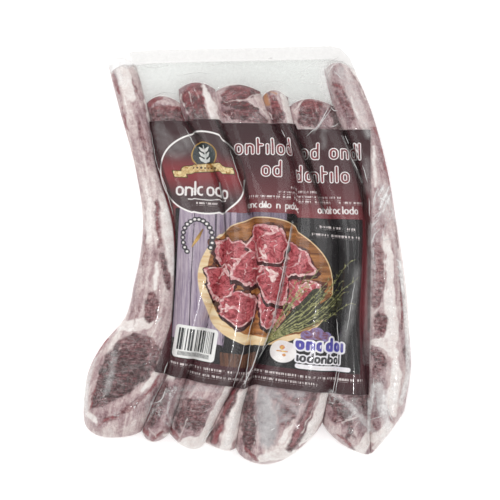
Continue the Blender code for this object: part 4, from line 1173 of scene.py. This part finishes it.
# Where the film shows painted highlights: a net of fine white lines for the glints of its wrinkles.
GLINT_NETS = (                                    # share of the full net of fine creases
    (0.65, (-69.5, -93, 4.1), (-61, -102, 6.1), (-54, -111, 4.1)),
    (0.8, (-51.5, -90.5, 2.7), (-32.5, -94.5, 3.4)), (0.7, (57.5, 101.5, 3.4), (61.5, 92, 3.4)),
    (0.8, (90, 44, 4.1), (94, 27, 4.8), (93.5, 7, 3.4)), (0.6, (14, -95, 3.4), (10, -119, 4.1)),
    (0.7, (59.5, -98.5, 4.8), (69.5, -107, 4.8)), (0.5, (93.5, -58, 3.4), (95.5, -78, 3.4)),
    (0.6, (98, -92, 3.4), (96, -104, 3.4)), (0.5, (-98, -112, 2.7), (-84, -106, 4.1), (-72, -98, 3.4)),
    (0.5, (-46, -106, 4.1), (-33, -104, 4.1)), (0.5, (30, -97, 3.4), (38, -103, 4.1)),
    (0.5, (58, -116, 3.4), (70, -118, 3.4)),
)


def top_edge(chop, across):
    return np.interp(skin_x(chop, across, SEAM_STATIONS[-1]), TOP_EDGE_X, TOP_EDGE_Y)


def inside_label(x, y):
    """mm inside the label's outline, positive over the label."""
    low, high = label_ends(x)
    side = np.minimum(x - label_left(y), np.interp(y, *zip(*LABEL_RIGHT)) - x)
    return np.minimum(np.minimum(y - low, high - y), side)


def over_label(x, y):
    """1 over the label, falling to 0 on a smooth S outside it."""
    return rise(inside_label(x, y), -FILM_LANDING, 0)


def film_top(x, y, skin):
    """Height of the upper sheet: the skin, drawn thin at the edge, and stepped over the label."""
    spare = (EDGE_HALF - FILM_HALF) * (1 - rise(skin - rim(y) - EDGE_HALF, 0, FILM_LANDING))
    return skin - spare + (LABEL_GAP + PAPER + FILM_OVER_LABEL) * over_label(x, y)


def film_surface():
    """x, y, upper and lower z of the bag on one grid, and mm from each point to the top edge."""
    t = crowded(np.linspace(0, 1, FILM_ROWS), FILM_CROWD)
    columns = []
    for chop in range(CHOPS):
        across, along = np.meshgrid(crowded(shares_on(chop, FILM_COLUMNS), FILM_CROWD), t)
        low, high = bottom_edge(chop, across), top_edge(chop, across)
        y = low + (high - low) * along
        columns.append((skin_x(chop, across, y), y, skin_top(chop, across, y),
                        skin_bottom(chop, across, y), high - y))
    x, y, top, bottom, to_seal = (np.concatenate(part, axis=1) for part in zip(*columns))
    spare = (EDGE_HALF - FILM_HALF) * (1 - rise(rim(y) - EDGE_HALF - bottom, 0, FILM_LANDING))
    return x, y, film_top(x, y, top), bottom + spare, to_seal


def film_haze(x, y, to_seal):
    """A thin veil all over, more in the empty web, with cloudy patches where ice lies behind it
    and narrower streaks along its pleats, many of them painted highlights and painted light."""
    veil = VEIL + VEIL_IN_WEB * (1 - rise(to_seal, *WEB_VEIL))
    for marks, out, well_in in ((HAZE, -3, 2), (PLEATS_AND_GLINTS, -0.7, 0.7)):
        for value, *points in marks:
            veil = veil + value * rise(stroke_depth(points, x, y), out, well_in)
    return np.minimum(veil, VEIL_MOST)


x, y, top, bottom, to_seal = film_surface()
haze = film_haze(x, y, to_seal)
covered = over_label(x, y)
slack = (SLACK - SLACK_LOST * covered) * (SLACK_IN_WEB + (1 - SLACK_IN_WEB) * rise(to_seal, *WEB_SLACK))
sealed = 1 - rise(to_seal, SEAL_BAND - SEAL_BLUR, SEAL_BAND)
empty = (1 - rise(top - bottom, *EMPTY_THICK)) * (1 - rise(to_seal, *WEB_EMPTY)) * (1 - sealed)
# Painted highlights: how strongly the net of white glint lines shows, off the label and the seal.
crinkle_glint = CRINKLE_GLINT * (1 - covered) * rise(to_seal, *WEB_CALM)
for value, *points in GLINT_NETS:
    crinkle_glint = np.maximum(crinkle_glint, value * rise(stroke_depth(points, x, y), -3, 3))

# Clear nylon laminate, drawn tight: it passes light straight through, a little less of it where
# two sheets lie on each other above the meat, shines like glass where a wrinkle turns to the lamp,
# and goes milky where ice or stretching clouds it, in patches, with a net of fine white lines
# painted in as highlights for the glints of small wrinkles.
film, node = new_material("clear_nylon_film")
place = node("ShaderNodeTexCoord").outputs["Object"]
haze_here, slack_here, crinkle_glint_here, sealed_here, empty_here = [
    node("ShaderNodeAttribute", attribute_name=name).outputs["Fac"]
    for name in ("haze", "slack", "crinkle_glint", "sealed", "empty")]
creases = node("ShaderNodeTexNoise", {"Vector": place, "Scale": 1 / MM / 7, "Detail": 5.0,
                                      "Distortion": 1.6}, noise_type="RIDGED_MULTIFRACTAL")
height = node("ShaderNodeMath", {0: creases, 1: slack_here}, operation="MULTIPLY")
bump = node("ShaderNodeBump", {"Height": height, "Strength": 1.0, "Distance": 1 * MM})
passed = node("ShaderNodeMix", {0: empty_here, 6: colour("#fbfbfa"), 7: colour("#eff0ef")}, data_type="RGBA")
clear = node("ShaderNodeBsdfTransparent", {"Color": passed})
shine = node("ShaderNodeBsdfGlossy", {"Color": (1, 1, 1, 1), "Roughness": 0.1, "Normal": bump})
facing = node("ShaderNodeLayerWeight", {"Blend": 0.5, "Normal": bump}).outputs["Facing"]
mirror = node("ShaderNodeMath", {0: facing, 1: 5.0}, operation="POWER")
mirror = node("ShaderNodeMath", {0: mirror, 1: 0.8, 2: 0.04}, operation="MULTIPLY_ADD")
glassy = node("ShaderNodeMixShader", {0: mirror, 1: clear, 2: shine})
veil = node("ShaderNodeBsdfDiffuse", {"Color": colour("#f6f5f4")})
patchy = node("ShaderNodeTexNoise", {"Vector": place, "Scale": 1 / MM / 4, "Detail": 6.0, "Roughness": 0.7})
patchy = node("ShaderNodeMapRange", {"Value": patchy, 1: 0.3, 2: 0.7, 3: 0.4, 4: 1.6})
cloud = node("ShaderNodeMath", {0: haze_here, 1: patchy}, operation="MULTIPLY")
cloud = node("ShaderNodeMath", {0: sealed_here, 1: 0.65, 2: cloud}, operation="MULTIPLY_ADD")
broken = node("ShaderNodeTexNoise", {"Vector": place, "Scale": 1 / MM / 10, "Detail": 3.0})
broken = node("ShaderNodeMapRange", {"Value": broken, 1: 0.45, 2: 0.65})
# Painted highlights: thin white lines from noise, mixed into the milky veil, as glints of small wrinkles.
for size, width, strength in ((9, 0.02, 0.8), (4, 0.03, 0.6), (2.4, 0.035, 0.6)):
    line = node("ShaderNodeTexNoise", {"Vector": place, "Scale": 1 / MM / size, "Detail": 3.0,
                                       "Distortion": 1.2, "Roughness": 0.6})
    line = node("ShaderNodeMath", {0: line, 1: 0.5}, operation="SUBTRACT")
    line = node("ShaderNodeMath", {0: line}, operation="ABSOLUTE")
    line = node("ShaderNodeMapRange", {"Value": line, 1: width, 2: 0.0, 3: 0.0, 4: strength})
    line = node("ShaderNodeMath", {0: line, 1: broken}, operation="MULTIPLY")
    cloud = node("ShaderNodeMath", {0: line, 1: crinkle_glint_here, 2: cloud}, operation="MULTIPLY_ADD")
laminate = node("ShaderNodeMixShader", {0: cloud, 1: glassy, 2: veil})
node("ShaderNodeOutputMaterial", {"Surface": laminate})

fields = {"haze": haze, "slack": slack, "crinkle_glint": crinkle_glint, "sealed": sealed, "empty": empty}
bag = new_piece("film_bag", film, "packed_meat", two_skins(x, y, top, bottom), shell_faces(*x.shape),
                **{name: both_faces(values) for name, values in fields.items()})
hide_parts("vacuum_pack")

# ---------------------------------------------------------------------------------------------
# Folds in the bag
# Where the vacuum left more film than there was pack to cover, it stands up in fine folds,
# pinched flat and stretched. Their white is partly the stretch and partly a painted highlight,
# for the glints of the lamps along them. They run down from the tips and round the lobes.
# ---------------------------------------------------------------------------------------------
FOLDS = (                                                # half width, and x, y of the points
    (0.3, (56, 102), (48, 88), (39.5, 80)), (0.25, (57.5, 100.5), (52, 92), (46, 84.5)),
    (0.35, (56, 86.5), (59, 87.5), (62, 90)), (0.35, (56.5, 101), (59, 98.5), (62, 98.5)),
    (0.35, (23, 85), (25.5, 79.5)), (0.3, (66.5, 81.5), (69, 75)), (0.3, (71, 65), (75, 57.5)),
    (0.3, (78, 61.5), (80, 55), (81.5, 49)), (0.25, (41, 118), (50, 116.5)),
    (0.25, (35.5, 118.5), (44.5, 116.5)), (0.25, (55, 134), (49.5, 132), (44.5, 129)),
    (0.35, (50.5, 116.5), (50, 121.5), (51.5, 125.5), (56, 132.5), (63, 136)),
    (0.35, (55, 117), (54, 121.5), (55.5, 125.5), (61, 131)), (0.3, (58.5, 125.5), (64.5, 119)),
    (0.25, (34, 123.5), (43.5, 130), (48, 133.5)), (0.6, (28, 101.5), (30.5, 103)),
    (0.6, (14, 134.5), (17.5, 135)), (0.5, (36.5, 122), (38.5, 123)), (0.4, (40, 124), (42, 125)),
    (0.3, (-1.5, -58), (-4.5, -71.5), (-10, -89.5)), (0.4, (2.5, -54.5), (-0.5, -79), (-2, -89.5)),
    (0.45, (8.5, -58), (3.5, -74.5), (-3, -87.5)), (0.3, (15, -58), (7, -70)),
    (0.55, (29.5, 19.5), (27.5, 7), (24, -10), (20.5, -28), (16.5, -45.5)),
    (0.3, (16.5, -47.5), (12.5, -58), (10, -64.5)), (0.3, (4.5, -39.5), (1.5, -51), (-0.5, -59)),
    (0.5, (15, -117.5), (18.5, -115.5)), (0.3, (60, -43), (61.5, -59)),
    (0.35, (60.5, -76.5), (59, -85), (57, -93.5)), (0.3, (62, -77), (60.5, -85), (59, -92.5)),
    (0.3, (81.5, -112), (91, -108)), (0.45, (85.5, -82.5), (84.5, -95), (83.5, -107)),
    (0.5, (93, -100.5), (95.5, -107), (98, -112)), (0.35, (93, 48), (88, 41)),
    (0.4, (96, 45.5), (92, 39), (89, 31.5)), (0.4, (97.5, 42.5), (94, 36), (91.5, 29.5)),
    (0.35, (88, 45), (86, 39), (85.5, 32)), (0.3, (90, 29.5), (84.5, 24.5)),
    (0.3, (89.5, 25), (84.5, 19.5)), (0.35, (90.5, 18.5), (86.5, 14.5), (83.5, 9)),
    (0.3, (91.5, 9.5), (97.5, 11.5)), (0.6, (100, -2.5), (103.5, -5)), (0.5, (100.5, -7.5), (103, -9)),
    (0.45, (101, -13), (103.5, -14.5)), (0.3, (82.5, 39), (82.5, 26)),
    (0.25, (72, -17), (69, -36), (66.5, -51.5)), (0.4, (-54, -72.5), (-57, -81.5)),
    (0.4, (-57.5, -41.5), (-62.5, -47)),
    (0.35, (-66, 85), (-64, 73.5), (-62, 63), (-55.5, 45.5), (-50.5, 27)),
    (0.3, (-73, 115.5), (-70, 107.5), (-68.5, 98.5)), (0.4, (-77.5, 129), (-76, 126)),
    (0.6, (-75, -100.5), (-74, -99)), (0.5, (-77, -103.5), (-75.5, -101.5)),
    (0.35, (-54.5, -89), (-58, -97), (-66.5, -102)), (0.45, (-22, -115), (-27, -121.5), (-30.5, -126.5)),
    (0.25, (-12, 71.5), (-8, 59), (-3, 44)), (0.25, (-42.5, 86.5), (-38.5, 79.5), (-34.5, 71.5)),
    (0.3, (-74.5, 131), (-66.5, 128.5), (-54, 130)), (0.25, (-49.5, 122.5), (-35, 125), (-23, 124)),
    (0.25, (-29, 128.5), (-17.5, 131), (-3, 130)), (0.25, (-66.5, 107.5), (-57.5, 111), (-47.5, 110)),
    (0.3, (7, 116.5), (18.5, 119), (29, 115.5)), (0.3, (20, 111), (28, 107.5), (33.5, 105.5)),
)
FOLD_STEP, FOLD_SECTION = 1.0, 6                         # mm along a fold, points round it
FOLD_SHARE, FOLD_END, FOLD_POWER = 0.8, 0.08, 0.6        # of the half width: all over, at an end
FOLD_WANDER = (9, 0.15)                                  # mm from crest to crest, mm of shift


def fold_surface(half, points):
    """A tube along a smooth line on the film, half sunk in it, as thick as a power of the sine
    of its share of the way: rings of points, first to last."""
    points = np.array(points, float)
    run = np.concatenate([[0], np.cumsum(np.hypot(*np.diff(points, axis=0).T))])
    at = np.linspace(0, run[-1], max(4, int(run[-1] / FOLD_STEP)) + 1)
    x, y = through(at, run, points[:, 0]), through(at, run, points[:, 1])
    shift_x, shift_y = wander(x, y, *FOLD_WANDER)
    x, y = x + shift_x, y + shift_y
    swell = np.sin(pi * at / run[-1]).clip(0, 1) ** FOLD_POWER
    radius = FOLD_SHARE * half * (FOLD_END + (1 - FOLD_END) * swell)
    z = film_top(x, y, skin_top_at(x, y))
    along = np.hypot(np.gradient(x), np.gradient(y))
    side_x, side_y = -np.gradient(y) / along, np.gradient(x) / along
    turn = np.arange(FOLD_SECTION) * 2 * pi / FOLD_SECTION
    out, up = np.cos(turn) * radius[:, None], np.sin(turn) * radius[:, None]
    return np.stack([x[:, None] + side_x[:, None] * out, y[:, None] + side_y[:, None] * out,
                     z[:, None] + up], axis=2)


def fold_mesh():
    """All the folds as one mesh: quads round each tube and a cap at both ends."""
    points, walls, caps, count = [], [], [], 0
    for half, *line in FOLDS:
        rings = fold_surface(half, line)
        index = np.arange(rings.shape[0] * FOLD_SECTION).reshape(-1, FOLD_SECTION) + count
        after = np.roll(index, -1, axis=1)
        quads = index[:-1], index[1:], after[1:], after[:-1]
        walls.append(np.stack([part.ravel() for part in quads], axis=1))
        caps.append(np.stack([index[0], index[-1, ::-1]]))
        points.append(rings.reshape(-1, 3))
        count += len(points[-1])
    return np.concatenate(points), [np.concatenate(walls), np.concatenate(caps)]


# The same film, cloudy and white, partly from the stretch and partly as a painted highlight, and
# bright along its crest.
fold_white_and_glint, node = new_material("stretched_nylon_film_painted_glint")
clear = node("ShaderNodeBsdfTransparent", {"Color": (1, 1, 1, 1)})
veil = node("ShaderNodeBsdfDiffuse", {"Color": colour("#f4f3f2")})
shine = node("ShaderNodeBsdfGlossy", {"Color": (1, 1, 1, 1), "Roughness": 0.25})
solid = node("ShaderNodeMixShader", {0: 0.25, 1: veil, 2: shine})
cloudy = node("ShaderNodeMixShader", {0: 0.6, 1: clear, 2: solid})
node("ShaderNodeOutputMaterial", {"Surface": cloudy})
points, faces = fold_mesh()
new_piece("film_folds", fold_white_and_glint, "packed_meat", points, faces)

# ---------------------------------------------------------------------------------------------
# Floor, light and camera
# A plain white table, lit a little from below, under soft light, and a camera straight above.
# ---------------------------------------------------------------------------------------------
FRAME_WIDTH = 0.340                         # what the picture spans at the pack's mid-height
CAMERA_OVER = (0.0017, 0.0034)
LENS, SENSOR, MID_HEIGHT = 110.0, 36.0, 0.012
FLOOR_REACH = 1.5

floor_mesh = bpy.data.meshes.new("studio_floor")
corners = [(-FLOOR_REACH, -FLOOR_REACH, 0), (FLOOR_REACH, -FLOOR_REACH, 0),
           (FLOOR_REACH, FLOOR_REACH, 0), (-FLOOR_REACH, FLOOR_REACH, 0)]
floor_mesh.from_pydata(corners, [], [(0, 1, 2, 3)])
floor = bpy.data.objects.new("studio_floor", floor_mesh)
bpy.context.scene.collection.objects.link(floor)
pale, node = new_material("pale_studio_floor")
surface = node("ShaderNodeBsdfDiffuse", {"Color": (0.95, 0.95, 0.95, 1)})
glow = node("ShaderNodeEmission", {"Color": (1, 1, 1, 1), "Strength": 0.3})
surface = node("ShaderNodeAddShader", {0: surface, 1: glow})
node("ShaderNodeOutputMaterial", {"Surface": surface})
floor_mesh.materials.append(pale)

world = bpy.data.worlds.new("studio")
world.use_nodes = True
world.node_tree.nodes["Background"].inputs["Color"].default_value = (1, 1, 1, 1)
world.node_tree.nodes["Background"].inputs["Strength"].default_value = 0.6
bpy.context.scene.world = world
bpy.context.scene.view_settings.view_transform = "Standard"

for name, power, size, spot in (("softbox_key", 4.0, 1.0, (-0.6, 0.6, 0.85)),
                                ("softbox_right", 2.3, 1.0, (0.6, 0.6, 0.85)),
                                ("softbox_front", 2.3, 1.0, (0.6, -0.6, 0.85)),
                                ("softbox_left", 2.3, 1.0, (-0.6, -0.6, 0.85)),
                                ("glint_upper", 0.9, 0.06, (-0.3, 0.7, 1.1)),
                                ("glint_lower", 0.6, 0.06, (0.5, -0.2, 1.1))):
    light = bpy.data.lights.new(name, "AREA")
    light.energy, light.size = power, size
    lamp = bpy.data.objects.new(name, light)
    lamp.location = spot
    aim = -np.array(spot)
    lamp.rotation_euler = (np.arccos(-aim[2] / np.linalg.norm(aim)), 0,
                           np.arctan2(aim[1], aim[0]) - pi / 2)
    bpy.context.scene.collection.objects.link(lamp)

camera_data = bpy.data.cameras.new("camera")
camera_data.lens, camera_data.sensor_width = LENS, SENSOR
camera = bpy.data.objects.new("camera", camera_data)
camera.location = (*CAMERA_OVER, MID_HEIGHT + FRAME_WIDTH * LENS / SENSOR)
bpy.context.scene.collection.objects.link(camera)
bpy.context.scene.camera = camera
